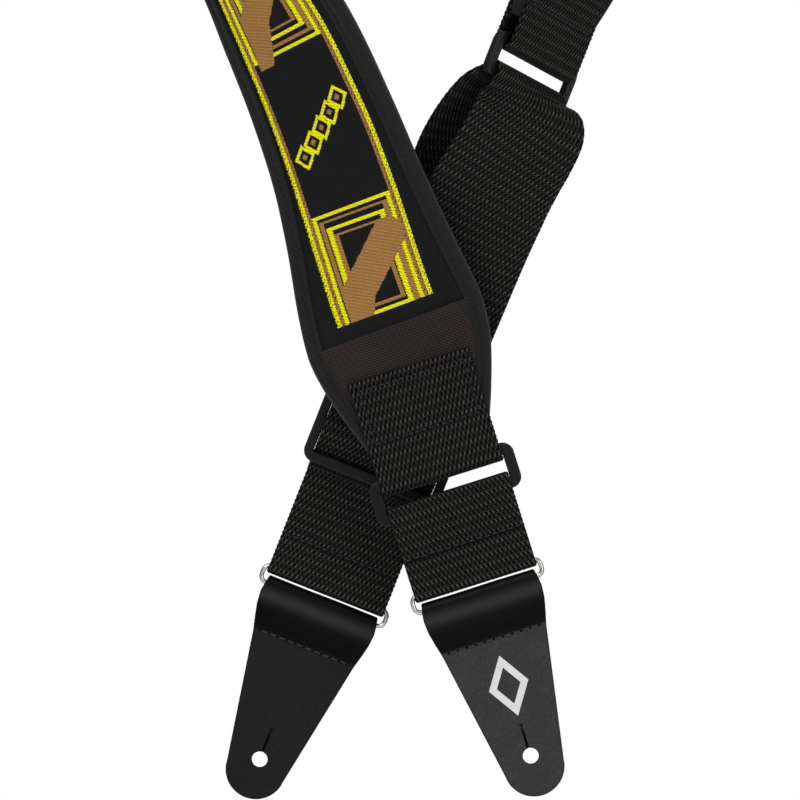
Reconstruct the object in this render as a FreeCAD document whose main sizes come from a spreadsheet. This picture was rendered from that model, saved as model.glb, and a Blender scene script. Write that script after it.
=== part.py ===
import FreeCAD, Part
import math
import os

# A guitar strap hanging as a hoop: a padded shoulder band, webbing tabs, flat rings, an
# adjuster with its slider on the rear strand, wire rings, and a leather end on each strand.
# +Z is up, +X is to the wearer's left of the hoop and -Y is the show side. The origin is
# the underside of the pad at the top of the hoop. Every strap piece is drawn in its own
# frame: x across the strap, y away from the show side, z up the strap.

V = FreeCAD.Vector
os.makedirs("parts", exist_ok=True)
doc = FreeCAD.newDocument("GuitarStrap")
pieces = {}

# ---------------------------------------------------------------- driving dimensions
DIMENSIONS = {
    # webbing
    "webThick": 1.6, "webWidth": 49.8, "tailWidth": 49.6,
    # flat rings; a pitch runs from bar centre to bar centre
    "barThick": 3.4, "barWide": 4.6, "ringOuter": 60.0, "ringPitch": 14.0, "ringCorner": 4.6,
    "barFillet": 0.8,
    # slider
    "sliderOuter": 58.6, "sliderSide": 3.9, "sliderPitch": 13.75, "sliderBar": 4.5,
    "sliderCorner": 5.0,
    # wire rings
    "wireDia": 1.8, "wireOuter": 55.0, "wirePitch": 6.8, "wireBend": 2.6,
    # inside radii of the folds round a flat bar and round a wire
    "foldRad": 3.1, "wireFold": 1.2,
    # pad layers and edge binding
    "coreThick": 4.0, "coreHalf": 36.6, "faceThick": 0.6,
    "bindThick": 0.5, "bindReach": 5.8, "bindEdge": 0.8,
    "patchThick": 0.5, "patchTop": 18.0, "padPastTab": 33.0,
    # tabs and front link
    "tabToBar": 42.5, "linkLength": 39.4, "linkStitch": 22.0,
    # leather ends
    "leatherThick": 2.2, "leatherLength": 87.0, "leatherStitch": 22.0, "flapLength": 28.0,
    "buttonHole": 70.6, "buttonRad": 3.2, "slitWidth": 1.2, "slitLength": 13.4, "tipRad": 12.2,
    # tail
    "tailLength": 63.3, "tailStitch": 17.0,
    # stitches
    "threadWide": 0.9, "threadHigh": 0.4,
    # lean of the strands from vertical and turn of the rear strand, in degrees
    "frontTilt": 17.5, "rearTilt": 21.5, "rearTurn": 54.0,
    # strand positions in y, hoop radius, and hoop top above the measuring datum
    "frontDepth": -9.0, "rearDepth": 9.0, "hoopRad": 88.0, "apexRise": 174.0,
    "emblemThick": 0.3,
}
sheet = doc.addObject("Spreadsheet::Sheet", "Dimensions")
for row, (alias, value) in enumerate(DIMENSIONS.items(), start=1):
    sheet.set("A%d" % row, alias)
    sheet.set("B%d" % row, repr(float(value)))
    sheet.setAlias("B%d" % row, alias)
doc.recompute()


def dim(alias):
    return float(getattr(sheet, alias))


WEB = dim("webThick")
FOLD = dim("foldRad")
WIRE_FOLD = dim("wireFold")
LEATHER = dim("leatherThick")
RING_PITCH = dim("ringPitch")
SLIDER_PITCH = dim("sliderPitch")
PAD_HALF = dim("coreThick") / 2 + dim("faceThick")
DATUM = dim("apexRise") - PAD_HALF      # measured heights are lowered by this


# ---------------------------------------------------------------- directions and frames
def unit(vector):
    return V(vector).normalize()


def strap_axes(up, face):
    """Across, away-from-face and up directions of a strap piece."""
    z = unit(up)
    away = face * -1
    y = unit(away - z * away.dot(z))
    return y.cross(z), y, z


def placement(origin, up, face):
    x, y, z = strap_axes(up, face)
    return FreeCAD.Placement(FreeCAD.Matrix(
        x.x, y.x, z.x, origin.x,
        x.y, y.y, z.y, origin.y,
        x.z, y.z, z.z, origin.z,
        0, 0, 0, 1))


def outward(along):
    """Direction out of the hoop, for a direction of travel from the front tab to the rear."""
    return V(-along.z, 0, along.x)


FACE = V(0, -1, 0)
AWAY = V(0, 1, 0)


def turned_face(out, degrees):
    """Face direction turned from the show side towards out."""
    angle = math.radians(degrees)
    return out * math.sin(angle) + FACE * math.cos(angle)


FRONT_TILT = math.radians(dim("frontTilt"))
REAR_TILT = math.radians(dim("rearTilt"))
FRONT_UP = V(-math.sin(FRONT_TILT), 0, math.cos(FRONT_TILT))
REAR_UP = V(math.sin(REAR_TILT), 0, math.cos(REAR_TILT))
REAR_OUT = outward(REAR_UP * -1)
REAR_FACE = turned_face(REAR_OUT, dim("rearTurn"))      # at the rear ring and tab

# ---------------------------------------------------------------- places on the strands
RING_TO_SLIDER = 162.6      # rear ring's middle to the slider's middle bar
TAIL_SET_BACK = 4.2         # tail's plane behind the slider's middle
TAIL_START = 0.7            # tail length is counted from here, below the slider's middle

FRONT_TAB = V(0.1, dim("frontDepth"), -146.4 - DATUM)   # middle of the tab's top edge
SLIDER = V(-9.96, dim("rearDepth"), -178.89 - DATUM)    # middle of the middle bar
REAR_RING = SLIDER + REAR_UP * RING_TO_SLIDER
REAR_TAB = REAR_RING + REAR_UP * (dim("tabToBar") + RING_PITCH / 2)
TAIL = SLIDER + AWAY * TAIL_SET_BACK


def on_front(drop):
    return FRONT_TAB - FRONT_UP * drop


def on_tail(drop):
    return TAIL - REAR_UP * drop


# drops below the front tab's top edge
LINK_DROP = dim("tabToBar") + RING_PITCH                # front ring's lower bar
FRONT_WIRE_DROP = LINK_DROP - FOLD - WEB + dim("linkLength") - WIRE_FOLD - WEB
# drops below the slider's middle bar
TAIL_BOTTOM = dim("tailLength") + TAIL_START
TAIL_WIRE_DROP = TAIL_BOTTOM - WIRE_FOLD - WEB

FRONT_RING_PLACE = placement(on_front(dim("tabToBar") + RING_PITCH / 2), FRONT_UP, FACE)
REAR_RING_PLACE = placement(REAR_RING, REAR_UP, REAR_FACE)
FRONT_TAB_PLACE = placement(FRONT_TAB, FRONT_UP, FACE)
REAR_TAB_PLACE = placement(REAR_TAB, REAR_UP, REAR_FACE)
LINK_PLACE = placement(on_front(LINK_DROP), FRONT_UP, FACE)
TAIL_PLACE = placement(TAIL, REAR_UP, FACE)
# the leather ends hang from the lower bars of the wire rings
FRONT_LEATHER = on_front(FRONT_WIRE_DROP + dim("wirePitch"))
REAR_LEATHER = on_tail(TAIL_WIRE_DROP + dim("wirePitch"))
FRONT_LEATHER_PLACE = placement(FRONT_LEATHER, FRONT_UP, FACE)
REAR_LEATHER_PLACE = placement(REAR_LEATHER, REAR_UP, FACE)


# ---------------------------------------------------------------- interpolation
def spline(points, start_tangent, end_tangent):
    """Clamped cubic spline by chord length; returns its evaluator and its length."""
    count = len(points)
    spans = [(points[i + 1] - points[i]).Length for i in range(count - 1)]
    knots = [0.0]
    for span in spans:
        knots.append(knots[-1] + span)

    # tridiagonal system for the tangent at each point
    below = [0.0] * count
    diagonal = [1.0] * count
    above = [0.0] * count
    tangents = [start_tangent] + [None] * (count - 2) + [end_tangent]
    for i in range(1, count - 1):
        before, after = spans[i - 1], spans[i]
        below[i] = after
        diagonal[i] = 2 * (after + before)
        above[i] = before
        tangents[i] = ((points[i] - points[i - 1]) * (3 * after / before)
                       + (points[i + 1] - points[i]) * (3 * before / after))
    for i in range(1, count):
        weight = below[i] / diagonal[i - 1]
        diagonal[i] -= weight * above[i - 1]
        tangents[i] = tangents[i] - tangents[i - 1] * weight
    for i in range(count - 2, -1, -1):
        tangents[i] = (tangents[i] - tangents[i + 1] * above[i]) * (1 / diagonal[i])

    def evaluate(distance):
        i = 0
        while i < count - 2 and distance > knots[i + 1]:
            i += 1
        span = spans[i]
        u = (distance - knots[i]) / span
        return (points[i] * (2 * u**3 - 3 * u**2 + 1)
                + tangents[i] * ((u**3 - 2 * u**2 + u) * span)
                + points[i + 1] * (-2 * u**3 + 3 * u**2)
                + tangents[i + 1] * ((u**3 - u**2) * span))

    return evaluate, knots[-1]


def smooth(u):
    u = max(0.0, min(1.0, u))
    return u * u * (3 - 2 * u)


def linear(table, x):
    if x <= table[0][0]:
        return table[0][1]
    for (x0, y0), (x1, y1) in zip(table, table[1:]):
        if x <= x1:
            return y0 + (y1 - y0) * (x - x0) / (x1 - x0)
    return table[-1][1]


def monotone(table, x):
    """Cubic through a table that never overshoots its values."""
    xs, ys = zip(*table)
    if x <= xs[0]:
        return ys[0]
    if x >= xs[-1]:
        return ys[-1]
    count = len(xs)
    slopes = [(ys[i + 1] - ys[i]) / (xs[i + 1] - xs[i]) for i in range(count - 1)]
    tangents = [0.0] * count
    for i in range(1, count - 1):
        before, after = slopes[i - 1], slopes[i]
        if before * after > 0:
            tangents[i] = 2 * before * after / (before + after)
    i = 0
    while x > xs[i + 1]:
        i += 1
    span = xs[i + 1] - xs[i]
    u = (x - xs[i]) / span
    return ((2 * u**3 - 3 * u**2 + 1) * ys[i] + (u**3 - 2 * u**2 + u) * span * tangents[i]
            + (-2 * u**3 + 3 * u**2) * ys[i + 1] + (u**3 - u**2) * span * tangents[i + 1])


# ---------------------------------------------------------------- hoop centre line
LEAD = 2.0      # straight run between each tab's top edge and the curve
CURVE_END = REAR_TAB + REAR_UP * LEAD
# (x, height above the datum) from the front tab up to the round part of the hoop
FRONT_RISE = [(-8.6, -121.6), (-22.4, -81.5), (-34.6, -49.6), (-46.8, -19.9), (-56.2, 0.0)]


def hoop_points():
    start = on_front(-LEAD)
    radius = dim("hoopRad")
    points = [V(start.x, 0, start.z)]
    points += [V(x, 0, height - DATUM) for x, height in FRONT_RISE]
    for degrees in range(205, -26, -23):
        angle = math.radians(degrees)
        points.append(V(radius * math.cos(angle), 0,
                        PAD_HALF - radius + radius * math.sin(angle)))
    points.append(V(CURVE_END.x, 0, CURVE_END.z))
    return points


hoop, HOOP_LENGTH = spline(hoop_points(), FRONT_UP, REAR_UP * -1)

# (distance along the curve, turn of the face in degrees)
HOOP_TURN = [
    (0, 0), (14, 4), (26, 12), (44, 18), (68, 22), (90, 25), (115, 32), (138, 40), (160, 46),
    (210, 57), (HOOP_LENGTH / 2 + 12, 90), (HOOP_LENGTH - 85, 73), (HOOP_LENGTH - 32, 60),
    (HOOP_LENGTH - 4, dim("rearTurn")), (HOOP_LENGTH, dim("rearTurn")),
]
# stretch of the curve over which it moves from the front depth to the rear depth
SHIFT_START, SHIFT_END = 170.0, HOOP_LENGTH - 60.0

# distances along the pad run from the front tab's top edge, negative under the tab
REAR_EDGE = HOOP_LENGTH + 2 * LEAD      # rear tab's top edge
PAD_START = -dim("padPastTab")
PAD_END = REAR_EDGE + dim("padPastTab")


def pad_station(distance):
    """Centre, direction of travel and face direction at a distance along the pad."""
    if distance < LEAD:
        return on_front(-distance), FRONT_UP, FACE
    if distance > HOOP_LENGTH + LEAD:
        past = distance - HOOP_LENGTH - LEAD
        return CURVE_END - REAR_UP * past, REAR_UP * -1, REAR_FACE
    run = distance - LEAD
    probe = 0.05
    point = hoop(min(run, HOOP_LENGTH))
    along = unit(hoop(min(HOOP_LENGTH, run + probe)) - hoop(max(0.0, run - probe)))
    shift = smooth((run - SHIFT_START) / (SHIFT_END - SHIFT_START))
    point.y = dim("frontDepth") + (dim("rearDepth") - dim("frontDepth")) * shift
    return point, along, turned_face(outward(along), monotone(HOOP_TURN, run))


# (distance from the nearer tab's top edge, half width of the core)
CORE_HALF_WIDTHS = [
    (-33, 23.0), (-30, 24.2), (-20, 28.2), (-10, 31.7), (0, 34.7), (8, 36.2),
    (15, dim("coreHalf")), (24, 36.4), (35, 35.4), (46, 33.8), (57, 32.2), (68, 30.8),
    (80, 29.6), (92, 29.0), (104, 28.8),
]


def core_half(distance):
    return linear(CORE_HALF_WIDTHS, min(distance, REAR_EDGE - distance))


def patch_half(distance):
    return core_half(distance) - dim("bindReach") - 0.05


def stations(start, end, step=11.0):
    """Section distances: close together near the pad's ends, even steps between."""
    near_end = [-33, -30, -20, -10, 0, 2, 8, 15, dim("patchTop"), 24]
    marks = {start, end}
    marks |= {round(float(x), 6) for x in near_end if start < x < end}
    marks |= {round(REAR_EDGE - x, 6) for x in near_end if start < REAR_EDGE - x < end}
    low, high = max(start, 24.0), min(end, HOOP_LENGTH - 20.0)
    if high > low:
        count = max(1, math.ceil((high - low) / step))
        marks |= {low + (high - low) * i / count for i in range(count + 1)}
    kept = []
    for mark in sorted(marks):
        if not kept or mark - kept[-1] > 0.5:
            kept.append(mark)
    kept[-1] = end
    return kept


# ---------------------------------------------------------------- lofts
def feature(name, shape, place=None):
    piece = doc.addObject("Part::Feature", name)
    piece.Label = name
    piece.Shape = shape
    piece.Placement = place or FreeCAD.Placement()
    pieces[name] = piece


def closed_wire(points):
    return Part.makePolygon(points + points[:1])


def loft(wires):
    shape = Part.makeLoft(wires, True, True)
    if shape.ShapeType == "Compound" or not shape.Solids:
        raise RuntimeError("loft gave no solid")
    solid = shape.Solids[0]
    if solid.Volume < 0:
        solid.reverse()
    return solid


def pad_section(distance, corners):
    """Closed wire through (across, towards the face) corners at a distance along the pad."""
    centre, along, face = pad_station(distance)
    x, y, _ = strap_axes(along, face)
    return closed_wire([centre + x * across - y * proud for across, proud in corners])


def rectangle(left, right, low, high):
    return [(left, low), (right, low), (right, high), (left, high)]


# ---------------------------------------------------------------- pad
def pad_band(name, low, high, half_width, distances):
    feature(name, loft([
        pad_section(q, rectangle(-half_width(q), half_width(q), low, high))
        for q in distances]))


def edge_binding(distances):
    """Channel-shaped binding over each long edge of the pad."""
    edge, reach = dim("bindEdge"), dim("bindReach")
    inner, outer = PAD_HALF, PAD_HALF + dim("bindThick")
    rails = []
    for side in (-1, 1):
        wires = []
        for q in distances:
            half = core_half(q)
            corners = [
                (half - reach, inner), (half - reach, outer), (half + edge, outer),
                (half + edge, -outer), (half - reach, -outer), (half - reach, -inner),
                (half, -inner), (half, inner)]
            wires.append(pad_section(q, [(side * x, z) for x, z in corners]))
        rails.append(loft(wires))
    feature("pad_edge_binding", Part.makeCompound(rails))


def binding_stitching():
    """A continuous thread along each binding, on both faces of the pad."""
    inset = 4.3         # thread's middle in from the binding's outer edge
    height = 0.45
    half_thread = dim("threadWide") / 2
    surface = PAD_HALF + dim("bindThick")
    threads = []
    for side in (-1, 1):
        for low, high in ((surface, surface + height), (-surface - height, -surface)):
            wires = []
            for q in stations(-10.0, HOOP_LENGTH + 14.0):
                middle = core_half(q) + dim("bindEdge") - inset
                wires.append(pad_section(q, rectangle(
                    side * (middle - half_thread), side * (middle + half_thread), low, high)))
            threads.append(loft(wires))
    feature("binding_stitching", Part.makeCompound(threads))


def shoulder_pad():
    half = dim("coreThick") / 2
    whole = stations(PAD_START, PAD_END)
    pad_band("pad_core", -half, half, core_half, whole)
    pad_band("pad_face_fabric", half, PAD_HALF, core_half, whole)
    pad_band("pad_back_lining", -PAD_HALF, -half, core_half, whole)
    edge_binding(whole)
    binding_stitching()
    for name, start, end in (
            ("front_end_patch", PAD_START, dim("patchTop")),
            ("rear_end_patch", REAR_EDGE - dim("patchTop"), PAD_END)):
        pad_band(name, PAD_HALF, PAD_HALF + dim("patchThick"), patch_half,
                 stations(start, end))


# ---------------------------------------------------------------- sketch geometry
def flat(point):
    return V(point[0], point[1], 0)


def line(start, end):
    return Part.LineSegment(flat(start), flat(end))


def arc(start, middle, end):
    return Part.Arc(flat(start), flat(middle), flat(end))


def circle(centre, radius):
    return Part.Circle(flat(centre), V(0, 0, 1), radius)


def polyline(points):
    return [line(a, b) for a, b in zip(points, points[1:])]


def polygon(points):
    return polyline(points + points[:1])


def mirror(point):
    return (-point[0], point[1])


def rounded(half_width, half_height, radius, middle=0.0):
    """Rounded rectangle, anticlockwise from the left end of its lower side."""
    trim = radius * (1 - math.sqrt(0.5))
    right, left = half_width, -half_width
    low, high = middle - half_height, middle + half_height
    ends = [
        (left + radius, low), (right - radius, low), (right, low + radius),
        (right, high - radius), (right - radius, high), (left + radius, high),
        (left, high - radius), (left, low + radius)]
    corners = [(right - trim, low + trim), (right - trim, high - trim),
               (left + trim, high - trim), (left + trim, low + trim)]
    outline = []
    for i, corner in enumerate(corners):
        start, end, following = ends[2 * i], ends[2 * i + 1], ends[(2 * i + 2) % 8]
        outline += [line(start, end), arc(end, corner, following)]
    return outline


def tangent_point(centre_z, radius, target):
    """Right-hand point of the circle about (0, centre_z) whose tangent runs to target."""
    rise = target[1] - centre_z
    side = 1 if rise < 0 else -1
    angle = (math.atan2(rise, target[0])
             + side * math.acos(radius / math.hypot(target[0], rise)))
    return (radius * math.cos(angle), centre_z + radius * math.sin(angle))


def fold(right, crest_z):
    """Arc from the mirror image of a point, by way of (0, crest_z), to the point."""
    return arc(mirror(right), (0, crest_z), right)


def teardrop(centre_z, radius, tip_z, aim=0.0):
    """Opening round a bar, closing to a tip where the two layers meet."""
    right = tangent_point(centre_z, radius, (aim, tip_z))
    crest_z = centre_z + (radius if tip_z < centre_z else -radius)
    return [fold(right, crest_z)] + polyline([right, (0.0, tip_z), mirror(right)])


# ---------------------------------------------------------------- body features
def new_body(name):
    body = doc.addObject("PartDesign::Body", name)
    body.Label = name
    pieces[name] = body
    return body


def sketch(body, name, role, geometry):
    plane = next(o for o in body.Origin.OriginFeatures if o.Role == role)
    drawn = body.newObject("Sketcher::SketchObject", name)
    drawn.AttachmentSupport = [(plane, "")]
    drawn.MapMode = "FlatFace"
    drawn.addGeometry(geometry, False)
    return drawn


def extrude(body, name, profile, alias):
    """Pad both ways from the sketch, its length bound to a driving dimension."""
    solid = body.newObject("PartDesign::Pad", name)
    solid.Profile = profile
    solid.SideType = "Symmetric"
    solid.setExpression("Length", "Dimensions." + alias)
    return solid


def cut_through(body, name, profile):
    cut = body.newObject("PartDesign::Pocket", name)
    cut.Profile = profile
    cut.SideType = "Symmetric"
    cut.Type = "ThroughAll"


# ---------------------------------------------------------------- flat hardware
WINDOW_CORNER = 0.7     # corner radius of the openings


def face_edges(shape, half_thick):
    """Names of the edges lying in the front and back faces of a plate."""
    names = []
    for number, edge in enumerate(shape.Edges, start=1):
        ys = [vertex.Point.y for vertex in edge.Vertexes]
        on_face = all(abs(abs(y) - half_thick) < 1e-6 for y in ys)
        if on_face and abs(ys[0] - ys[-1]) < 1e-6:
            names.append("Edge%d" % number)
    return names


def rounded_plate(name, prefix, outline, place):
    body = new_body(name)
    profile = sketch(body, prefix + "_outline", "XZ_Plane", outline)
    plate = extrude(body, prefix + "_plate", profile, "barThick")
    doc.recompute()
    rounding = body.newObject("PartDesign::Fillet", prefix + "_rounding")
    rounding.Base = (plate, face_edges(plate.Shape, dim("barThick") / 2))
    rounding.setExpression("Radius", "Dimensions.barFillet")
    body.Placement = place


def flat_ring(name, place):
    bar = dim("barWide")
    half_width = dim("ringOuter") / 2
    half_height = (RING_PITCH + bar) / 2
    outline = rounded(half_width, half_height, dim("ringCorner"))
    outline += rounded(half_width - bar, half_height - bar, WINDOW_CORNER)
    rounded_plate(name, name, outline, place)


def slider_buckle():
    """Plate with two openings, one above and one below its middle bar."""
    bar = dim("sliderBar")
    half_width = dim("sliderOuter") / 2
    outline = rounded(half_width, SLIDER_PITCH + bar / 2, dim("sliderCorner"))
    for middle in (SLIDER_PITCH / 2, -SLIDER_PITCH / 2):
        outline += rounded(half_width - dim("sliderSide"), (SLIDER_PITCH - bar) / 2,
                           WINDOW_CORNER, middle)
    rounded_plate("slider_buckle", "slider", outline, placement(SLIDER, REAR_UP, FACE))


# ---------------------------------------------------------------- wire rings
def wire_ring(name, place):
    body = new_body(name)
    half_height = dim("wirePitch") / 2
    loop = rounded((dim("wireOuter") - dim("wireDia")) / 2, half_height, dim("wireBend"))
    # start the path in the middle of the top bar, where the wire's section is drawn
    start = (0.0, half_height)
    top_bar = loop[4]
    path = ([line(start, top_bar.EndPoint)] + loop[5:] + loop[:4]
            + [line(top_bar.StartPoint, start)])
    spine = sketch(body, name + "_path", "XZ_Plane", path)
    profile = sketch(body, name + "_wire", "YZ_Plane", [circle(start, dim("wireDia") / 2)])
    doc.recompute()
    pipe = body.newObject("PartDesign::AdditivePipe", name + "_pipe")
    pipe.Profile = profile
    pipe.Spine = (spine, ["Edge%d" % (i + 1) for i in range(len(spine.Shape.Edges))])
    body.Placement = place


# ---------------------------------------------------------------- webbing loops
SEAM_HALF = 2.0     # layers lie flat this far each side of a stitch line
TIP_GAP = 3.0       # stitch line to the tip of the opening inside a fold
LINK_SEAM = FOLD + WEB - dim("linkStitch")      # below the front ring's lower bar
TAIL_SEAM = dim("tailStitch") - TAIL_BOTTOM     # below the slider's middle bar
ADJUSTER_END = -18.0                            # both from the slider's middle bar
TAIL_TOP = -18.3


def webbing(name, prefix, profile, width_alias, place):
    body = new_body(name)
    drawn = sketch(body, prefix + "_profile", "YZ_Plane", profile)
    extrude(body, prefix + "_band", drawn, width_alias)
    body.Placement = place


def tab(name, place):
    """U over the pad's end and round a ring's bar; its origin is on its top edge."""
    bar_z = -dim("tabToBar")
    outer = FOLD + WEB
    side = [(outer, bar_z), (outer, 0), (FOLD, 0), (FOLD, bar_z)]
    profile = polyline(side) + polyline([mirror(point) for point in side])
    profile += [fold((radius, bar_z), bar_z - radius) for radius in (outer, FOLD)]
    webbing(name, name, profile, "webWidth", place)


def front_link():
    """Two layers folded round the front ring above and the wire ring below."""
    wire_z = LINK_DROP - FRONT_WIRE_DROP
    upper, lower = (WEB, LINK_SEAM + SEAM_HALF), (WEB, LINK_SEAM - SEAM_HALF)
    top_radius, low_radius = FOLD + WEB, WIRE_FOLD + WEB
    side = [tangent_point(0, top_radius, upper), upper, lower,
            tangent_point(wire_z, low_radius, lower)]
    profile = [fold(side[0], top_radius), fold(side[-1], wire_z - low_radius)]
    profile += polyline(side) + polyline([mirror(point) for point in side])
    profile += teardrop(0, FOLD, LINK_SEAM + TIP_GAP, aim=0.02)
    profile += teardrop(wire_z, WIRE_FOLD, LINK_SEAM - TIP_GAP)
    webbing("front_link_webbing", "front_link", profile, "webWidth", LINK_PLACE)


def tail():
    """Single layer below the slider, doubled round the wire ring."""
    wire_z = -TAIL_WIRE_DROP
    flap_z = TAIL_SEAM + 10.0
    low_z = TAIL_SEAM - SEAM_HALF
    radius = WIRE_FOLD + WEB
    right = tangent_point(wire_z, radius, (WEB, low_z))
    profile = [fold(right, wire_z - radius)]
    profile += polyline([
        mirror(right), (-WEB, low_z), (-WEB, TAIL_TOP), (0.0, TAIL_TOP), (0.0, flap_z),
        (WEB, flap_z), (WEB, low_z), right])
    profile += teardrop(wire_z, WIRE_FOLD, TAIL_SEAM - TIP_GAP)
    webbing("tail_webbing", "tail", profile, "tailWidth", TAIL_PLACE)


# ---------------------------------------------------------------- adjuster webbing
RING_WRAP = 3.9         # centre-line radii of the webbing: round the rear ring's bar,
PASSING_WRAP = 5.45     # round the middle bar over the anchored end,
ANCHOR_WRAP = 3.75      # round the middle bar itself,
OUTER_BAR_WRAP = 3.4    # and behind the slider's upper and lower bars
STUB_WRAP = OUTER_BAR_WRAP + 1.75
BACK_RUN = 6.9          # back run behind the slider's middle

# drops below the rear ring's lower bar
MIDDLE_BAR_DROP = RING_TO_SLIDER - RING_PITCH / 2
UPPER_BAR_DROP = MIDDLE_BAR_DROP - SLIDER_PITCH

# (drop, turn of the face in degrees)
RUN_TURN = [(0, dim("rearTurn")), (5, 52), (18, 45), (27, 37), (46, 20), (63, 9), (80, 2),
            (92, 0), (200, 0)]
# (drop, offset towards the face)
FRONT_OFFSET = [(0, RING_WRAP), (8, 6.2), (18, 8.8), (28, 10.0), (46, 9.0), (63, 6.2),
                (80, 3.0), (110, -2.4), (UPPER_BAR_DROP, -OUTER_BAR_WRAP)]
BACK_OFFSET = [(0, -RING_WRAP), (8, -6.5), (24, -10.5), (42, -12.3), (60, -12.0),
               (95, -10.0), (UPPER_BAR_DROP, -BACK_RUN)]
# (drop, sideways bow out of the hoop)
FRONT_BOW = [(0, 0), (10, 0), (27, 1.0), (46, 1.6), (63, 2.2), (80, 1.5), (105, 0), (200, 0)]
BACK_BOW = [(0, 0), (4, -0.5), (12, -1.7), (24, -2.0), (38, -2.4), (50, -2.6), (80, -1.5),
            (105, 0), (200, 0)]
# drops of the sections, in the order the webbing runs
BACK_DROPS = [MIDDLE_BAR_DROP - 26, MIDDLE_BAR_DROP - 40, 95, 80, 68, 56, 46, 37, 28, 20,
              13, 8, 4, 1]
FRONT_DROPS = [1, 4, 8, 13, 20, 28, 37, 46, 56, 68, 80, 95, 110,
               MIDDLE_BAR_DROP - 30, MIDDLE_BAR_DROP - 22]


def run_frame(drop):
    """Point on the strand's axis, face direction and across direction at a drop."""
    face = turned_face(REAR_OUT, monotone(RUN_TURN, drop))
    point = REAR_RING - REAR_UP * (RING_PITCH / 2 + drop)
    return point, face, strap_axes(REAR_UP, face)[0]


def run_points(drops, offsets, bows):
    path = []
    for drop in drops:
        point, face, across = run_frame(drop)
        path.append((point + face * monotone(offsets, drop)
                     + REAR_OUT * monotone(bows, drop), across))
    return path


def ring_points():
    """Half turn over the rear ring's lower bar, from the back run to the front run."""
    point, face, across = run_frame(0.0)
    path = []
    for i in range(9):
        angle = math.pi - math.pi * i / 8
        path.append((point + face * (RING_WRAP * math.cos(angle))
                     + REAR_UP * (RING_WRAP * math.sin(angle)), across))
    return path


def slider_point(y, z):
    """Path point in the slider's own frame."""
    return SLIDER + REAR_UP * z + AWAY * y, strap_axes(REAR_UP, FACE)[0]


def wrap_points(radius, bar_z, start, end, steps):
    """Arc about a slider bar between two angles, in radians."""
    path = []
    for i in range(steps + 1):
        angle = start + (end - start) * i / steps
        path.append(slider_point(radius * math.cos(angle), bar_z + radius * math.sin(angle)))
    return path


def crossing_angle(outer_radius, middle_radius):
    """Slope of the straight run from behind an outer bar to the front of the middle bar."""
    return math.asin((outer_radius + middle_radius) / SLIDER_PITCH)


def ribbon(path, half_width, thick):
    """Band along a path of (point, across direction) pairs."""
    wires = []
    last = len(path) - 1
    for i, (point, across) in enumerate(path):
        along = unit(path[min(last, i + 1)][0] - path[max(0, i - 1)][0])
        across = unit(across - along * across.dot(along))
        normal = across.cross(along)
        wires.append(closed_wire([
            point + across * x + normal * y for x, y in
            rectangle(-half_width, half_width, -thick / 2, thick / 2)]))
    return loft(wires)


def adjuster():
    # anchored end: stub behind the upper bar, then round the middle bar and up its back
    slope = crossing_angle(STUB_WRAP, ANCHOR_WRAP)
    path = [slider_point(STUB_WRAP, z) for z in (26.0, 20.0)]
    path += wrap_points(STUB_WRAP, SLIDER_PITCH, 0, -slope, 2)
    path += wrap_points(ANCHOR_WRAP, 0, math.pi - slope, 2 * math.pi, 8)
    path += [slider_point(5.0, 7.0), slider_point(BACK_RUN, SLIDER_PITCH)]
    # up to the ring, over its bar and down again
    path += run_points(BACK_DROPS, BACK_OFFSET, BACK_BOW)
    path += ring_points()
    path += run_points(FRONT_DROPS, FRONT_OFFSET, FRONT_BOW)
    # behind the upper bar, over the front of the middle bar, behind the lower bar
    slope = crossing_angle(OUTER_BAR_WRAP, PASSING_WRAP)
    path += wrap_points(OUTER_BAR_WRAP, SLIDER_PITCH, 0, -slope, 2)
    path += wrap_points(PASSING_WRAP, 0, math.pi - slope, math.pi + slope, 6)
    path += wrap_points(OUTER_BAR_WRAP, -SLIDER_PITCH, slope, 0, 2)
    path.append(slider_point(OUTER_BAR_WRAP, ADJUSTER_END))
    feature("adjuster_webbing", ribbon(path, dim("tailWidth") / 2, WEB - 0.05))


# ---------------------------------------------------------------- leather ends
LEATHER_BORE = WIRE_FOLD - 0.1          # inside radius of the fold
LEATHER_TOP = LEATHER_BORE + LEATHER    # outside radius, and the top above the wire
# (distance below the top, half width)
LEATHER_SIDE = [(0, 23.3), (7, 24.6), (12, 24.2), (22.8, 21.6)]
TIP_START = math.radians(10.7)          # where the side meets the round tip
TRIM_FRAME = [(-40, 20), (40, 20), (40, -110), (-40, -110)]     # (x, z), clear of the strip


def leather_profile():
    """Side view: one long layer, folded over the wire into a short flap behind."""
    meet_z = LEATHER_TOP - dim("leatherStitch") + 5.0
    end_z = LEATHER_TOP - dim("leatherLength")
    flap_z = LEATHER_TOP - dim("flapLength")
    right = tangent_point(0, LEATHER_TOP, (LEATHER, meet_z))
    profile = [fold(right, LEATHER_TOP)]
    profile += polyline([
        right, (LEATHER, meet_z), (LEATHER, flap_z + 1.5), (LEATHER * 0.45, flap_z),
        (0, flap_z), (0, end_z), (-LEATHER, end_z), (-LEATHER, meet_z), mirror(right)])
    return profile + teardrop(0, LEATHER_BORE, meet_z - 1.0)


def leather_outline():
    """Front view: tapering sides and a round tip."""
    radius = dim("tipRad")
    tip_z = LEATHER_TOP - (dim("leatherLength") - radius)
    tip = (radius * math.cos(TIP_START), tip_z + radius * math.sin(TIP_START))
    right = [(LEATHER_SIDE[0][1] - 0.6, LEATHER_TOP + 0.5)]
    right += [(half, LEATHER_TOP - below) for below, half in LEATHER_SIDE] + [tip]
    left = [mirror(point) for point in reversed(right)]
    return (polyline(right) + [arc(tip, (0.0, tip_z - radius), mirror(tip))]
            + polyline(left + right[:1]))


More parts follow.
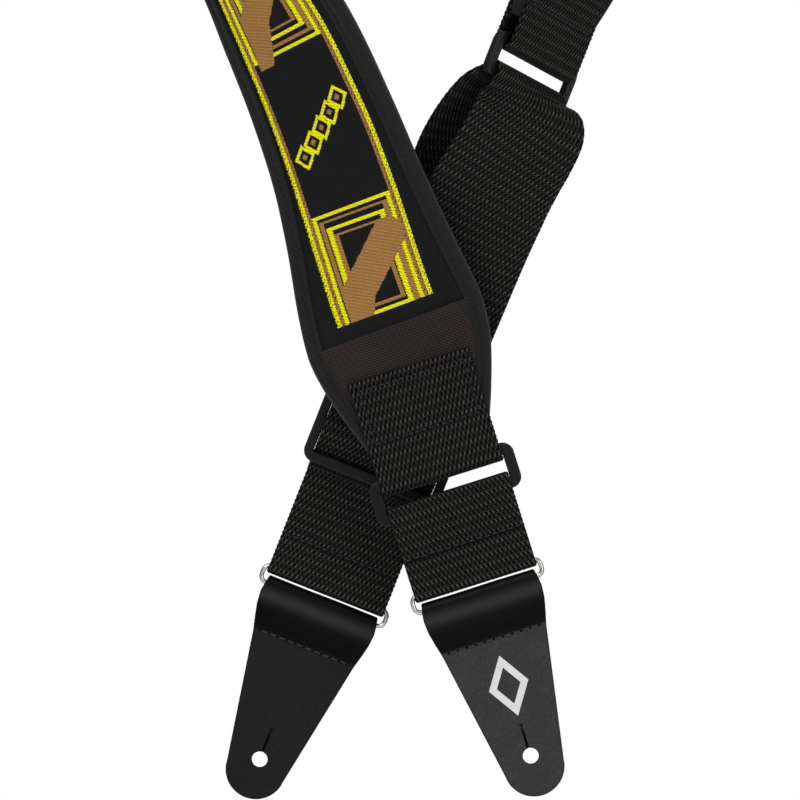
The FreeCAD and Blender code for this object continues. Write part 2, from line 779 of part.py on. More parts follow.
def leather_end(name, place):
    """Folded leather; its origin is on the wire ring's lower bar and it hangs down -z."""
    body = new_body(name)
    profile = sketch(body, name + "_profile", "YZ_Plane", leather_profile())
    extrude(body, name + "_strip", profile, "webWidth")
    doc.recompute()

    # everything between the frame and the outline is cut away
    trim = sketch(body, name + "_outline", "XZ_Plane",
                  polygon(TRIM_FRAME) + leather_outline())
    cut_through(body, name + "_trim", trim)

    hole_z = LEATHER_TOP - dim("buttonHole")
    hole = sketch(body, name + "_button", "XZ_Plane",
                  [circle((0, hole_z), dim("buttonRad"))])
    cut_through(body, name + "_hole", hole)

    # the slit starts inside the hole and runs up from it
    half_slit = dim("slitWidth") / 2
    slit = sketch(body, name + "_slitline", "XZ_Plane", polygon(rectangle(
        -half_slit, half_slit, hole_z + dim("slitLength"), hole_z + dim("buttonRad") - 0.6)))
    cut_through(body, name + "_slit", slit)
    body.Placement = place


def lozenge(half_width, half_height, middle):
    return polygon([(0, middle + half_height), (half_width, middle),
                    (0, middle - half_height), (-half_width, middle)])


def leather_emblem():
    """Open foil lozenge on the show side of the front leather."""
    middle = -38.0
    body = new_body("front_leather_emblem")
    outline = sketch(body, "emblem_outline", "XZ_Plane",
                     lozenge(8.2, 12.5, middle) + lozenge(4.9, 7.5, middle))
    extrude(body, "emblem_foil", outline, "emblemThick")
    lift = LEATHER + dim("emblemThick") / 2
    body.Placement = placement(FRONT_LEATHER + FACE * lift, FRONT_UP, FACE)


# ---------------------------------------------------------------- stitching
def stitch_row(start, end, count, y, behind=False):
    """Stitches from start to end, both (x, z), standing on the surface at y."""
    gap = 0.35      # share of the stitch pitch left open
    high, wide = dim("threadHigh"), dim("threadWide")
    step_x, step_z = (end[0] - start[0]) / count, (end[1] - start[1]) / count
    length = math.hypot(step_x, step_z) * (1 - gap)
    angle = math.degrees(math.atan2(step_z, step_x))
    stitches = []
    for i in range(count):
        stitch = Part.makeBox(length, high, wide)
        stitch.translate(V(-length / 2, 0 if behind else -high, -wide / 2))
        stitch.rotate(V(0, 0, 0), V(0, 1, 0), -angle)
        stitch.translate(V(start[0] + step_x * (i + 0.5), y, start[1] + step_z * (i + 0.5)))
        stitches.append(stitch)
    return stitches


def tab_stitching(name, place):
    """Rectangle of stitches on the face of a tab."""
    half = 21.6
    y = -(FOLD + WEB)
    stitches = []
    for z in (-4.0, -26.0):
        stitches += stitch_row((-half, z), (half, z), 14, y)
    for x in (-half, half):
        stitches += stitch_row((x, -5.5), (x, -24.5), 6, y)
    feature(name, Part.makeCompound(stitches), place)


def seam(name, half_width, z, count, surface, place):
    """Row straight across a doubled strap, on its front and on its back."""
    start, end = (-half_width, z), (half_width, z)
    stitches = stitch_row(start, end, count, -surface)
    stitches += stitch_row(start, end, count, surface, behind=True)
    feature(name, Part.makeCompound(stitches), place)


# ---------------------------------------------------------------- build
shoulder_pad()

flat_ring("front_ring", FRONT_RING_PLACE)
flat_ring("rear_ring", REAR_RING_PLACE)
slider_buckle()

half_pitch = dim("wirePitch") / 2
wire_ring("front_wire_ring",
          placement(on_front(FRONT_WIRE_DROP + half_pitch), FRONT_UP, FACE))
wire_ring("rear_wire_ring",
          placement(on_tail(TAIL_WIRE_DROP + half_pitch), REAR_UP, FACE))

tab("front_tab_webbing", FRONT_TAB_PLACE)
tab("rear_tab_webbing", REAR_TAB_PLACE)
front_link()
tail()
adjuster()

leather_end("front_leather_end", FRONT_LEATHER_PLACE)
leather_end("rear_leather_end", REAR_LEATHER_PLACE)
leather_emblem()

tab_stitching("front_tab_stitching", FRONT_TAB_PLACE)
tab_stitching("rear_tab_stitching", REAR_TAB_PLACE)
seam("front_link_stitching", 23.5, LINK_SEAM, 15, WEB, LINK_PLACE)
seam("tail_stitching", 23.5, TAIL_SEAM, 15, WEB, TAIL_PLACE)
leather_seam = LEATHER_TOP - dim("leatherStitch")
seam("front_leather_stitching", 20.0, leather_seam, 11, LEATHER, FRONT_LEATHER_PLACE)
seam("rear_leather_stitching", 20.0, leather_seam, 11, LEATHER, REAR_LEATHER_PLACE)

# ---------------------------------------------------------------- checks and output
doc.recompute()
failed = [(o.Name, o.State) for o in doc.Objects
          if "Invalid" in o.State or "Error" in o.State]
for name, piece in pieces.items():
    shape = piece.Shape
    if shape.isNull() or not shape.isValid() or not shape.Solids:
        failed.append((name, "null, invalid or without a solid"))
if failed:
    raise SystemExit("failed objects: %s" % failed)
for name, piece in pieces.items():
    piece.Shape.exportStep("parts/%s.step" % name)
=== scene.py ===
# A padded shoulder strap hanging from its crown: a jacquard pad bent over the top, webbing
# tabs, rings and a slider below it, and a leather end with a button hole on each strand.
# Strap sizes are in mm and meshes in metres. +Z is up and the show side faces -Y. The origin
# lies under the pad's crown; the front strand hangs at y = -9 and the rear one at y = +9.
import math

import bmesh
import bpy
import numpy as np
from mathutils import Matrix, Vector


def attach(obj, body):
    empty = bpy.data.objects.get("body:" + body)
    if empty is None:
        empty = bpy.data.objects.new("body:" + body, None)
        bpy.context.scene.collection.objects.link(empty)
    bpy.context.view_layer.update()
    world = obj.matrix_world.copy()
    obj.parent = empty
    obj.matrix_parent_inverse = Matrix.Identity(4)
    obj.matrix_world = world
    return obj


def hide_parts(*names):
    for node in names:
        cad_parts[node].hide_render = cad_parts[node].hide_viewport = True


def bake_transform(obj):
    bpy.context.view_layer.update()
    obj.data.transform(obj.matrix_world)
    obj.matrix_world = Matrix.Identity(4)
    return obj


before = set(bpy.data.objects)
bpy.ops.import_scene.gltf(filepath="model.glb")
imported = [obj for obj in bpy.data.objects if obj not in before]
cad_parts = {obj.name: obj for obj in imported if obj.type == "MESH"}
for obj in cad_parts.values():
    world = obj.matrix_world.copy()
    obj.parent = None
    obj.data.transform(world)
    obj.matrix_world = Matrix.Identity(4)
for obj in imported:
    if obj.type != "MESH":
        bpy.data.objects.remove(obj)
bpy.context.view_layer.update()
rng = np.random.default_rng(7)
MM = 0.001

# ---------------------------------------------------------------- driving sizes, as in the CAD
WEB_T = 1.6                               # webbing thickness
CORE_T, FACE_T = 4.0, 0.6                 # pad's foam and its cloth
SURFACE = CORE_T / 2 + FACE_T             # cloth surface above the pad's middle layer
CROWN_Z = 174.0
ORIGIN_Z = CROWN_Z - SURFACE              # drawn height of the origin
CROWN_R = 88.0
STRAND_Y = 9.0
BAR_R, WIRE_R = 3.1, 1.2                  # inner radii of the folds round ring bar and wire
BAR_FOLD = BAR_R + WEB_T / 2              # the same folds at the webbing's middle
WIRE_FOLD = WIRE_R + WEB_T / 2

FRONT_LEAN, REAR_LEAN = math.radians(17.5), math.radians(21.5)
RING_TURN = math.radians(54.0)            # turn of the rear tab about its strand
FRONT_UP = np.array((-math.sin(FRONT_LEAN), 0.0, math.cos(FRONT_LEAN)))
REAR_UP = np.array((math.sin(REAR_LEAN), 0.0, math.cos(REAR_LEAN)))
REAR_OUT = np.array((math.cos(REAR_LEAN), 0.0, -math.sin(REAR_LEAN)))
SHOW = np.array((0.0, -1.0, 0.0))
RING_SHOW = math.sin(RING_TURN) * REAR_OUT + math.cos(RING_TURN) * SHOW

FRONT_TAB = np.array((0.1, -STRAND_Y, -146.4 - ORIGIN_Z))
SLIDER = np.array((-9.96, STRAND_Y, -178.89 - ORIGIN_Z))
RING_REACH = 162.6                        # slider to rear ring
RING = SLIDER + REAR_UP * RING_REACH
REAR_TAB = RING + REAR_UP * 49.5
TAIL = SLIDER + np.array((0, 4.2, 0))

# distances down each strand
LINK_DROP = 56.5
LINK_WIRE = LINK_DROP - BAR_R - WEB_T + 39.4 - WIRE_R - WEB_T
TAIL_FOLD = 64.0
TAIL_WIRE = TAIL_FOLD - WIRE_R - WEB_T
LEATHER_DROP = 6.8                        # wire to leather bend


# ---------------------------------------------------------------- curves
def unit(a):
    a = np.asarray(a, float)
    return a / np.maximum(np.linalg.norm(a, axis=-1, keepdims=True), 1e-12)


def axes(up, show):
    """x across, y away from the show side, z along."""
    z = unit(up)
    y = -np.asarray(show, float)
    y = unit(y - z * (y * z).sum(-1, keepdims=True))
    return np.cross(y, z), y, z


def arc_lengths(line):
    return np.concatenate([[0], np.cumsum(np.linalg.norm(np.diff(line, axis=0), axis=1))])


def ease(t):
    t = np.clip(t, 0, 1)
    return t * t * (3 - 2 * t)


def bell(x, width):
    return np.exp(-(x / width) ** 2)


def decay(distance, reach, limit=20):
    return np.exp(-np.clip(distance, 0, limit) / reach)


def hermite(t, h, y0, y1, slope0, slope1):
    return ((2 * t**3 - 3 * t**2 + 1) * y0 + (t**3 - 2 * t**2 + t) * h * slope0
            + (-2 * t**3 + 3 * t**2) * y1 + (t**3 - t**2) * h * slope1)


def clamped_spline(points, start_dir, end_dir):
    """Cubic spline through 2-D points with given end directions: (function, chord length)."""
    points = np.array(points, float)
    count = len(points)
    knots = arc_lengths(points)
    h = np.diff(knots)
    system = np.zeros((count, count))
    right = np.zeros((count, 2))
    system[0, 0] = system[-1, -1] = 1
    right[0], right[-1] = start_dir, end_dir
    for i in range(1, count - 1):
        system[i, i - 1:i + 2] = h[i], 2 * (h[i] + h[i - 1]), h[i - 1]
        right[i] = 3 * (h[i] * (points[i] - points[i - 1]) / h[i - 1]
                        + h[i - 1] * (points[i + 1] - points[i]) / h[i])
    slopes = np.linalg.solve(system, right)

    def at(s):
        i = np.clip(np.searchsorted(knots, s) - 1, 0, count - 2)
        step = h[i][:, None]
        t = (s - knots[i])[:, None] / step
        return hermite(t, step, points[i], points[i + 1], slopes[i], slopes[i + 1])

    return at, knots[-1]


def monotone(table, x):
    """Smooth curve through (x, value) rows that never overshoots them."""
    xs, ys = np.array(table, float).T
    x = np.clip(np.asarray(x, float), xs[0], xs[-1])
    rise = np.diff(ys) / np.diff(xs)
    slopes = np.zeros(len(xs))
    for i in range(1, len(xs) - 1):
        before, after = rise[i - 1], rise[i]
        slopes[i] = 0.0 if before * after <= 0 else 2 * before * after / (before + after)
    i = np.clip(np.searchsorted(xs, x) - 1, 0, len(xs) - 2)
    h = xs[i + 1] - xs[i]
    return hermite((x - xs[i]) / h, h, ys[i], ys[i + 1], slopes[i], slopes[i + 1])


def interp_rows(at, stations, rows):
    return np.stack([np.interp(at, stations, rows[:, c]) for c in range(3)], 1)


def resample(line, across, step):
    """Even stations along a 3-D line: points, across directions, distances."""
    lengths = arc_lengths(line)
    count = max(2, int(round(lengths[-1] / step)) + 1)
    at = np.linspace(0, lengths[-1], count)
    return interp_rows(at, lengths, line), unit(interp_rows(at, lengths, across)), at


def smooth_line(line, across, rounds):
    for _ in range(rounds):
        line[1:-1] = 0.5 * line[1:-1] + 0.25 * (line[:-2] + line[2:])
        across[1:-1] = unit(0.5 * across[1:-1] + 0.25 * (across[:-2] + across[2:]))
    return line, across


# ---------------------------------------------------------------- pad surface
# Pad coordinates: along from the front tab, across, and height over the middle layer.
LEAD = 2.0                                # from a tab's origin to the spline's end
PAST = 33.0                               # pad reaching inside each tab
Q_STEP = 0.5

pad_start = FRONT_TAB + FRONT_UP * LEAD
pad_end = REAR_TAB + REAR_UP * LEAD
# (x, drawn z) of the centre line, up the front strand, over the crown, down the rear one
CENTRE = [(pad_start[0], pad_start[2] + ORIGIN_Z),
          (-8.6, -121.6), (-22.4, -81.5), (-34.6, -49.6), (-46.8, -19.9), (-56.2, 0.0)]
CENTRE += [(CROWN_R * math.cos(math.radians(deg)),
            CROWN_Z - CROWN_R + CROWN_R * math.sin(math.radians(deg)))
           for deg in range(205, -26, -23)]
CENTRE.append((pad_end[0], pad_end[2] + ORIGIN_Z))
centre_at, LINE_LEN = clamped_spline(CENTRE, FRONT_UP[[0, 2]], -REAR_UP[[0, 2]])
PAD_LEN = LINE_LEN + 2 * LEAD

# (distance along the line, degrees the face turns from the show side)
TURN = [(0, 0), (14, 4), (26, 9), (44, 12), (68, 15), (90, 19), (115, 26), (138, 32),
        (160, 40), (210, 55), (LINE_LEN / 2 + 12, 90), (LINE_LEN - 85, 73),
        (LINE_LEN - 32, 60), (LINE_LEN - 4, math.degrees(RING_TURN)),
        (LINE_LEN, math.degrees(RING_TURN))]
# (along, +x drift of the hanging strap off its centre line)
DRIFT = [(-40, 0), (0, 0), (30, 0.3), (68, 1.1), (103, 2.0), (136, 1.6), (158, 0.8),
         (200, 0.2), (240, 0), (900, 0)]
# (distance from the nearer end, half width of the pad inside its binding)
HALF_WIDTH = np.array([
    (-35, 22.3), (-33, 22.8), (-30, 23.9), (-20, 27.7), (-10, 31.1), (0, 34.0), (8, 35.4),
    (15, 36.1), (24, 35.7), (35, 34.5), (46, 33.0), (57, 31.6), (68, 30.5), (80, 29.5),
    (92, 29.0), (104, 28.8), (9999, 28.8)])


def fade(along, start, end, reach):
    """1 over the middle of the pad, easing to 0 near its ends."""
    return ease((along - start) / reach) * ease((PAD_LEN - end - along) / reach)


def pad_frames(along):
    """Centre points, across and outward directions at dense stations."""
    s = np.clip(along - LEAD, 0, LINE_LEN)
    xz = centre_at(s)
    ahead = 0.05
    run = unit(centre_at(np.minimum(s + ahead, LINE_LEN)) - centre_at(np.maximum(s - ahead, 0)))
    turn = np.radians(monotone(TURN, s))
    depth = -STRAND_Y + 2 * STRAND_Y * ease((s - 170.0) / (LINE_LEN - 60.0 - 170.0))
    points = np.stack([xz[:, 0], depth, xz[:, 1] - ORIGIN_Z], 1)
    tangent = np.stack([run[:, 0], 0 * s, run[:, 1]], 1)
    show = np.stack([np.sin(turn) * -run[:, 1], -np.cos(turn), np.sin(turn) * run[:, 0]], 1)
    # straight past both ends of the spline
    low, high = along < LEAD, along > LINE_LEN + LEAD
    points[low] = FRONT_TAB + FRONT_UP * along[low][:, None]
    tangent[low], show[low] = FRONT_UP, SHOW
    points[high] = pad_end - REAR_UP * (along[high] - LINE_LEN - LEAD)[:, None]
    tangent[high], show[high] = -REAR_UP, RING_SHOW
    across, inward, _ = axes(tangent, show)
    points[:, 0] += monotone(DRIFT, along)
    return points, across, -inward


PAD_Q = np.arange(-PAST - 2, PAD_LEN + PAST + 2.01, Q_STEP)
PAD_POINT, PAD_ACROSS, PAD_OUT = pad_frames(PAD_Q)
PAD_ARCH = 2.3 * fade(PAD_Q, 22, 26, 60)
kernel = np.hanning(21)
kernel /= kernel.sum()
PAD_HALF = np.interp(np.minimum(PAD_Q, PAD_LEN - PAD_Q), HALF_WIDTH[:, 0], HALF_WIDTH[:, 1])
PAD_HALF = np.convolve(np.pad(PAD_HALF, 10, mode="edge"), kernel, "valid")


def half_at(along):
    return np.interp(along, PAD_Q, PAD_HALF)


def wobble(along, across):
    """Slow unevenness of a padded, hand-sewn strap."""
    broad = np.sin(along / 17.0 + 0.6 * np.sin(across / 19.0)) * np.cos(across / 23.0 + 0.8)
    small = np.sin(along / 7.3 + across / 11.0 + 1.0) * np.sin(along / 31.0)
    return fade(along, 25, 25, 40) * (0.28 * broad + 0.16 * small)


def pad_point(along, across, height):
    along, across, height = np.broadcast_arrays(*(np.asarray(a, float)
                                                  for a in (along, across, height)))
    station = np.clip((along - PAD_Q[0]) / Q_STEP, 0, len(PAD_Q) - 1.001)
    i = station.astype(int)
    t = (station - i)[..., None]

    def mix(table):
        return table[i] * (1 - t) + table[i + 1] * t

    arch = np.interp(along, PAD_Q, PAD_ARCH) * (0.45 - (across / 38.0) ** 2)
    height = height + arch + wobble(along, across)
    return (mix(PAD_POINT) + unit(mix(PAD_ACROSS)) * across[..., None]
            + unit(mix(PAD_OUT)) * height[..., None])


# ---------------------------------------------------------------- mesh helpers
def mesh(name, verts, faces, mats, smooth_shade=True, mat_index=None, attrs=None):
    """Object from vertices in mm and a list of face arrays, each (faces, corners)."""
    data = bpy.data.meshes.new(name)
    verts = np.asarray(verts, np.float32) * MM
    data.vertices.add(len(verts))
    data.vertices.foreach_set("co", verts.ravel())
    loops = np.concatenate([f.ravel() for f in faces])
    totals = np.concatenate([np.full(len(f), f.shape[1]) for f in faces])
    data.loops.add(len(loops))
    data.loops.foreach_set("vertex_index", loops.astype(np.int32))
    data.polygons.add(len(totals))
    data.polygons.foreach_set("loop_start", (np.cumsum(totals) - totals).astype(np.int32))
    data.polygons.foreach_set("loop_total", totals.astype(np.int32))
    if smooth_shade:
        data.polygons.foreach_set("use_smooth", np.ones(len(totals), bool))
    for mat in mats:
        data.materials.append(mat)
    if mat_index is not None:
        data.polygons.foreach_set("material_index", np.asarray(mat_index, np.int32))
    for key, values in (attrs or {}).items():
        values = np.asarray(values, np.float32)
        kind, field = ("FLOAT", "value") if values.ndim == 1 else ("FLOAT_VECTOR", "vector")
        data.attributes.new(key, kind, "POINT").data.foreach_set(field, values.ravel())
    data.update(calc_edges=True)
    data.validate()
    obj = bpy.data.objects.new(name, data)
    bpy.context.scene.collection.objects.link(obj)
    return obj


def hook(obj, body, slot, *replaced):
    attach(obj, body)
    if replaced:
        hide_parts(*replaced)


def cloth_uv(across, along, side=0.0):
    return np.stack([across.ravel(), along.ravel(), np.full(across.size, side)], 1)


def grid_faces(rows, cols, close_rows=False, close_cols=False, base=0):
    """Quads of a grid of points, index = row * cols + column."""
    a, b = np.meshgrid(np.arange(rows if close_rows else rows - 1),
                       np.arange(cols if close_cols else cols - 1), indexing="ij")
    a2, b2 = (a + 1) % rows, (b + 1) % cols
    corners = [a * cols + b, a2 * cols + b, a2 * cols + b2, a * cols + b2]
    return np.stack(corners, -1).reshape(-1, 4) + base


def slab_faces(rows, cols, closed=False):
    """Two grids of points, one over the other, joined round their edges."""
    layer = rows * cols

    def wall(a, b):
        return np.stack([a, b, b + layer, a + layer], 1)

    faces = [grid_faces(rows, cols, closed)[:, ::-1], grid_faces(rows, cols, closed, base=layer)]
    a = np.arange(rows if closed else rows - 1)
    left, left_next = a * cols, (a + 1) % rows * cols
    faces.append(wall(left, left_next)[:, ::-1])
    faces.append(wall(left + cols - 1, left_next + cols - 1))
    if not closed:
        c = np.arange(cols - 1)
        last = (rows - 1) * cols
        faces.append(wall(c, c + 1))
        faces.append(wall(last + c, last + c + 1)[:, ::-1])
    return faces


WEAVE_A, WEAVE_B = 1.88, 1.95             # spacing of the weave's pits across and along


def weave_height(across, along):
    """0 in the pits to 1 on the yarns; every other row is shifted and shallower."""
    b = along / WEAVE_B
    row = np.floor(b)
    odd = np.mod(row, 2)
    in_row = b - row - 0.5
    a = across / WEAVE_A + 0.5 * odd + 0.20 * in_row
    in_column = a - np.floor(a) - 0.5
    distance = np.sqrt((in_column / 0.36) ** 2 + (in_row / 0.42) ** 2)
    return 1 - (1 - 0.25 * odd) * (1 - ease((distance - 0.35) / 0.9))


def webbing(name, line, across, half, closed=False, press=None, coarse=False, ribs=0.14):
    """Woven band along a 3-D line, with relief on both faces and ribbed selvedges.

    press(across, along) gives how deep the faces are pulled in.
    """
    relief = 0.40
    cell = 0.25
    line, across, lengths = resample(line, across, 0.2)
    total = lengths[-1]
    rows = max(2, int(round(total / WEAVE_B / 2)) * 2)
    count = int(round(rows / (cell * (1.35 if coarse else 1))))
    at = np.linspace(0, total, count + 1)
    line, across = interp_rows(at, lengths, line), unit(interp_rows(at, lengths, across))
    if closed:
        line, across, at = line[:-1], across[:-1], at[:-1]
        tangent = unit(np.roll(line, -1, 0) - np.roll(line, 1, 0))
    else:
        tangent = unit(np.gradient(line, axis=0))
    across = unit(across - tangent * (across * tangent).sum(1, keepdims=True))
    normal = np.cross(across, tangent)
    columns = int(round(2 * half / WEAVE_A))
    x = np.linspace(-half, half, int(round(columns / cell)) + 1)
    # the weave is stretched to a whole number of rows and columns
    xx, weave_v = np.meshgrid(x, at * (rows * WEAVE_B / total))
    weave_u, yy = np.meshgrid(x * (columns * WEAVE_A / (2 * half)), at)

    edge = np.clip((half - np.abs(xx)) / 1.2, 0, 1)
    rounding = 0.3 + 0.7 * np.sqrt(np.clip(1 - (1 - edge) ** 2, 0, 1))
    wide = xx + np.sign(xx) * ribs * np.cos(2 * math.pi * weave_v / WEAVE_B) * (1 - edge)
    dent = press(xx, yy) if press else 0 * xx
    height = (WEB_T / 2 - relief * 0.7 + relief * weave_height(weave_u, weave_v)) * rounding - dent
    middle = line[:, None, :] + across[:, None, :] * wide[..., None]
    rise = normal[:, None, :] * height[..., None]
    verts = np.concatenate([(middle + side * rise).reshape(-1, 3) for side in (1, -1)])
    uvs = np.concatenate([cloth_uv(weave_u, weave_v, side) for side in (1.0, -1.0)])
    # depth of the stitch dents, which the material paints darker as shade
    dent_shade_depth = np.tile(np.clip(dent.ravel() / 0.36, 0, 1), 2)
    return mesh(name, verts, slab_faces(len(line), len(x), closed), [M_WEB],
                attrs={"dent": dent_shade_depth, "wuv": uvs})


# (place along half a stitch, share of the full radius)
STITCH = np.array([(-1, 0.25), (-0.93, 0.7), (-0.75, 0.95), (-0.4, 1), (0, 1), (0.4, 1),
                   (0.75, 0.95), (0.93, 0.7), (1.0, 0.25)])


def stitches(name, centres, along, normals, length, radius, mat):
    """Thread segments whose ends dive into the cloth."""
    sag = 0.35
    centres, along, normals = np.asarray(centres, float), unit(along), unit(normals)
    sideways = unit(np.cross(normals, along))
    place, share = STITCH.T
    count, rings, sides = len(centres), len(place), 8
    angles = np.arange(sides) * 2 * math.pi / sides
    spine = (centres[:, None, :] + along[:, None, :] * (place[None, :, None] * length / 2)
             - normals[:, None, :] * (sag * (place**4)[None, :, None]))
    ring = (sideways[:, None, None, :] * np.cos(angles)[None, None, :, None]
            + normals[:, None, None, :] * np.sin(angles)[None, None, :, None])
    verts = spine[:, :, None, :] + ring * radius * share[None, :, None, None]
    c = np.arange(1, sides - 1)
    cap = np.stack([0 * c, c, c + 1], 1)
    base = (np.arange(count) * rings * sides)[:, None, None]
    quads = (grid_faces(rings, sides, close_cols=True)[None] + base).reshape(-1, 4)
    start = (cap[None] + base).reshape(-1, 3)
    end = (cap[None, :, ::-1] + base + (rings - 1) * sides).reshape(-1, 3)
    shape = (count, rings, sides)
    uvs = cloth_uv(np.broadcast_to(angles, shape),
                   np.broadcast_to(place[None, :, None] * length / 2, shape))
    return mesh(name, verts.reshape(-1, 3), [quads, start, end], [mat], attrs={"wuv": uvs})


# ---------------------------------------------------------------- materials
BLACK, WHITE = (0, 0, 0, 1), (1, 1, 1, 1)


def srgb(*rgb):
    def linear(c):
        return ((c / 255 + 0.055) / 1.055) ** 2.4 if c > 10.3 else c / 255 / 12.92
    return (*(linear(c) for c in rgb), 1.0)


class Shader:
    """A material with short calls for its nodes; each returns an output socket."""

    def __init__(self, name):
        self.mat = bpy.data.materials.new(name)
        self.mat.use_nodes = True
        self.tree = self.mat.node_tree
        self.bsdf = self.tree.nodes["Principled BSDF"]

    def new(self, kind, **settings):
        node = self.tree.nodes.new(kind)
        for key, value in settings.items():
            setattr(node, key, value)
        return node

    def feed(self, socket, value):
        if isinstance(value, bpy.types.NodeSocket):
            self.tree.links.new(value, socket)
        else:
            socket.default_value = value

    def fill(self, node, **values):
        """Feed inputs by name, with _ for a space."""
        for key, value in values.items():
            self.feed(node.inputs[key.replace("_", " ")], value)
        return node

    def finish(self, **values):
        self.fill(self.bsdf, **values)
        return self.mat

    def attr(self, name, out="Vector"):
        return self.new("ShaderNodeAttribute", attribute_name=name).outputs[out]

    def obj(self):
        return self.new("ShaderNodeTexCoord").outputs["Object"]

    def xy(self, vec):
        node = self.fill(self.new("ShaderNodeSeparateXYZ"), Vector=vec)
        return node.outputs[0], node.outputs[1]

    def noise(self, vec, scale, detail=3.0):
        return self.fill(self.new("ShaderNodeTexNoise"), Vector=vec, Scale=scale,
                         Detail=detail, Roughness=0.55).outputs["Fac"]

    def ramp(self, fac, *stops):
        """stops are (position, colour)."""
        node = self.fill(self.new("ShaderNodeValToRGB"), Fac=fac)
        elements = node.color_ramp.elements
        while len(elements) < len(stops):
            elements.new(0.5)
        for element, (position, color) in zip(elements, stops):
            element.position = position
            element.color = color
        return node.outputs["Color"]

    def span(self, fac, low, high):
        """Map 0..1 to low..high."""
        return self.fill(self.new("ShaderNodeMapRange"), Value=fac, To_Min=low,
                         To_Max=high).outputs["Result"]

    def step(self, fac, start, end):
        """Smooth step from 0 at start to 1 at end."""
        node = self.new("ShaderNodeMapRange", interpolation_type="SMOOTHSTEP")
        return self.fill(node, Value=fac, From_Min=start, From_Max=end).outputs["Result"]

    def math(self, operation, *values):
        node = self.new("ShaderNodeMath", operation=operation)
        for socket, value in zip(node.inputs, values):
            self.feed(socket, value)
        return node.outputs[0]

    def add(self, a, b):
        return self.math("ADD", a, b)

    def sub(self, a, b):
        return self.math("SUBTRACT", a, b)

    def mul(self, a, b):
        return self.math("MULTIPLY", a, b)

    def mix(self, fac, a, b, mode="MIX"):
        node = self.new("ShaderNodeMix", data_type="RGBA", blend_type=mode)
        for socket, value in ((node.inputs["Factor"], fac), (node.inputs[6], a),
                              (node.inputs[7], b)):
            self.feed(socket, value)
        return node.outputs[2]

    def bump(self, height, strength, distance, under=None):
        node = self.fill(self.new("ShaderNodeBump"), Strength=strength, Distance=distance,
                         Height=height)
        if under is not None:
            self.fill(node, Normal=under)
        return node.outputs["Normal"]

    def scaled(self, vec, x=1.0, y=1.0, angle=0.0):
        return self.fill(self.new("ShaderNodeMapping"), Vector=vec, Scale=(x, y, 1.0),
                         Rotation=(0, 0, math.radians(angle))).outputs["Vector"]

    def wave(self, vec, scale, direction, distortion=0.0):
        node = self.new("ShaderNodeTexWave", bands_direction=direction)
        return self.fill(node, Vector=vec, Scale=scale, Distortion=distortion).outputs["Fac"]

    def blotches(self, uv, scale=0.05):
        return self.noise(self.scaled(uv, x=scale, y=scale), scale=1.0, detail=2)


def webbing_material():
    """Staggered rows of pits between slanted yarns, from the band's own coordinates; the yarn tops
    and row lines are painted light as highlights and the pits painted dark as shade.
    """
    m = Shader("webbing_black")
    uv = m.attr("wuv")
    across, along = m.xy(uv)
    jitter = m.mul(m.sub(m.noise(uv, scale=0.55, detail=2), 0.5), 0.55)
    rows = m.math("DIVIDE", m.add(along, jitter), WEAVE_B)
    odd = m.math("FLOORED_MODULO", m.math("FLOOR", rows), 2.0)
    in_row = m.sub(m.math("FRACT", rows), 0.5)
    stagger = m.add(m.mul(odd, 0.5), m.mul(in_row, 0.20))
    columns = m.add(m.math("DIVIDE", m.add(across, jitter), WEAVE_A), stagger)
    # strokes lean a little more than the pits
    lean = m.sub(m.math("FRACT", m.add(columns, m.mul(in_row, 0.24))), 0.5)
    beside = m.step(m.math("ABSOLUTE", lean), start=0.17, end=0.37)
    between = m.step(m.math("ABSOLUTE", in_row), start=0.24, end=0.47)
    stroke = m.mul(beside, m.sub(1.0, m.mul(between, 0.8)))
    stroke = m.mul(stroke, m.sub(1.0, m.mul(odd, 0.30)))
    row_highlight = m.mul(between, m.step(m.add(in_row, m.mul(odd, -1.0)), start=0.30, end=0.48))
    height = m.math("MAXIMUM", stroke, m.mul(between, 0.42))
    fine = m.noise(uv, scale=3.2)
    fibre = m.wave(m.scaled(uv, y=0.25, angle=14), scale=1.9, direction="X", distortion=4.0)
    # black yarn painted lighter on its tops as highlights and darker in the pits as shade
    base = m.ramp(height, (0.0, srgb(16, 15, 14)), (0.35, srgb(31, 30, 28)),
                  (0.7, srgb(57, 56, 53)), (1.0, srgb(88, 86, 82)))
    # painted highlight along each row line
    base = m.mix(m.mul(row_highlight, 0.7), base, srgb(67, 66, 61))
    base = m.mix(m.span(fine, low=0.0, high=0.35), base, srgb(12, 12, 11))
    base = m.mix(m.span(m.blotches(uv), low=0.0, high=0.35), base, srgb(12, 12, 12))
    # stitch dents painted darker as shade in the creases
    base = m.mix(m.mul(m.attr("dent", "Fac"), 0.8), base, srgb(10, 10, 11))
    normal = m.bump(fine, strength=0.3, distance=0.00012)
    normal = m.bump(height, strength=0.8, distance=0.00030, under=normal)
    normal = m.bump(fibre, strength=0.25, distance=0.0001, under=normal)
    return m.finish(Base_Color=base, Roughness=m.span(height, low=0.9, high=0.6),
                    Specular_IOR_Level=m.span(height, low=0.03, high=0.22), Normal=normal)


def thread_material(name, color):
    """Twisted thread; color is its sRGB on the strands, painted darker between them as shade in
    the twist's grooves.
    """
    m = Shader(name)
    twist = m.wave(m.attr("wuv"), scale=1.1, direction="DIAGONAL")
    # painted shade between the strands
    base = m.ramp(twist, (0.0, srgb(*[c * 0.4 for c in color])), (1.0, srgb(*color)))
    return m.finish(Base_Color=base, Roughness=0.5, Sheen_Weight=0.1,
                    Normal=m.bump(twist, strength=0.6, distance=0.0001))


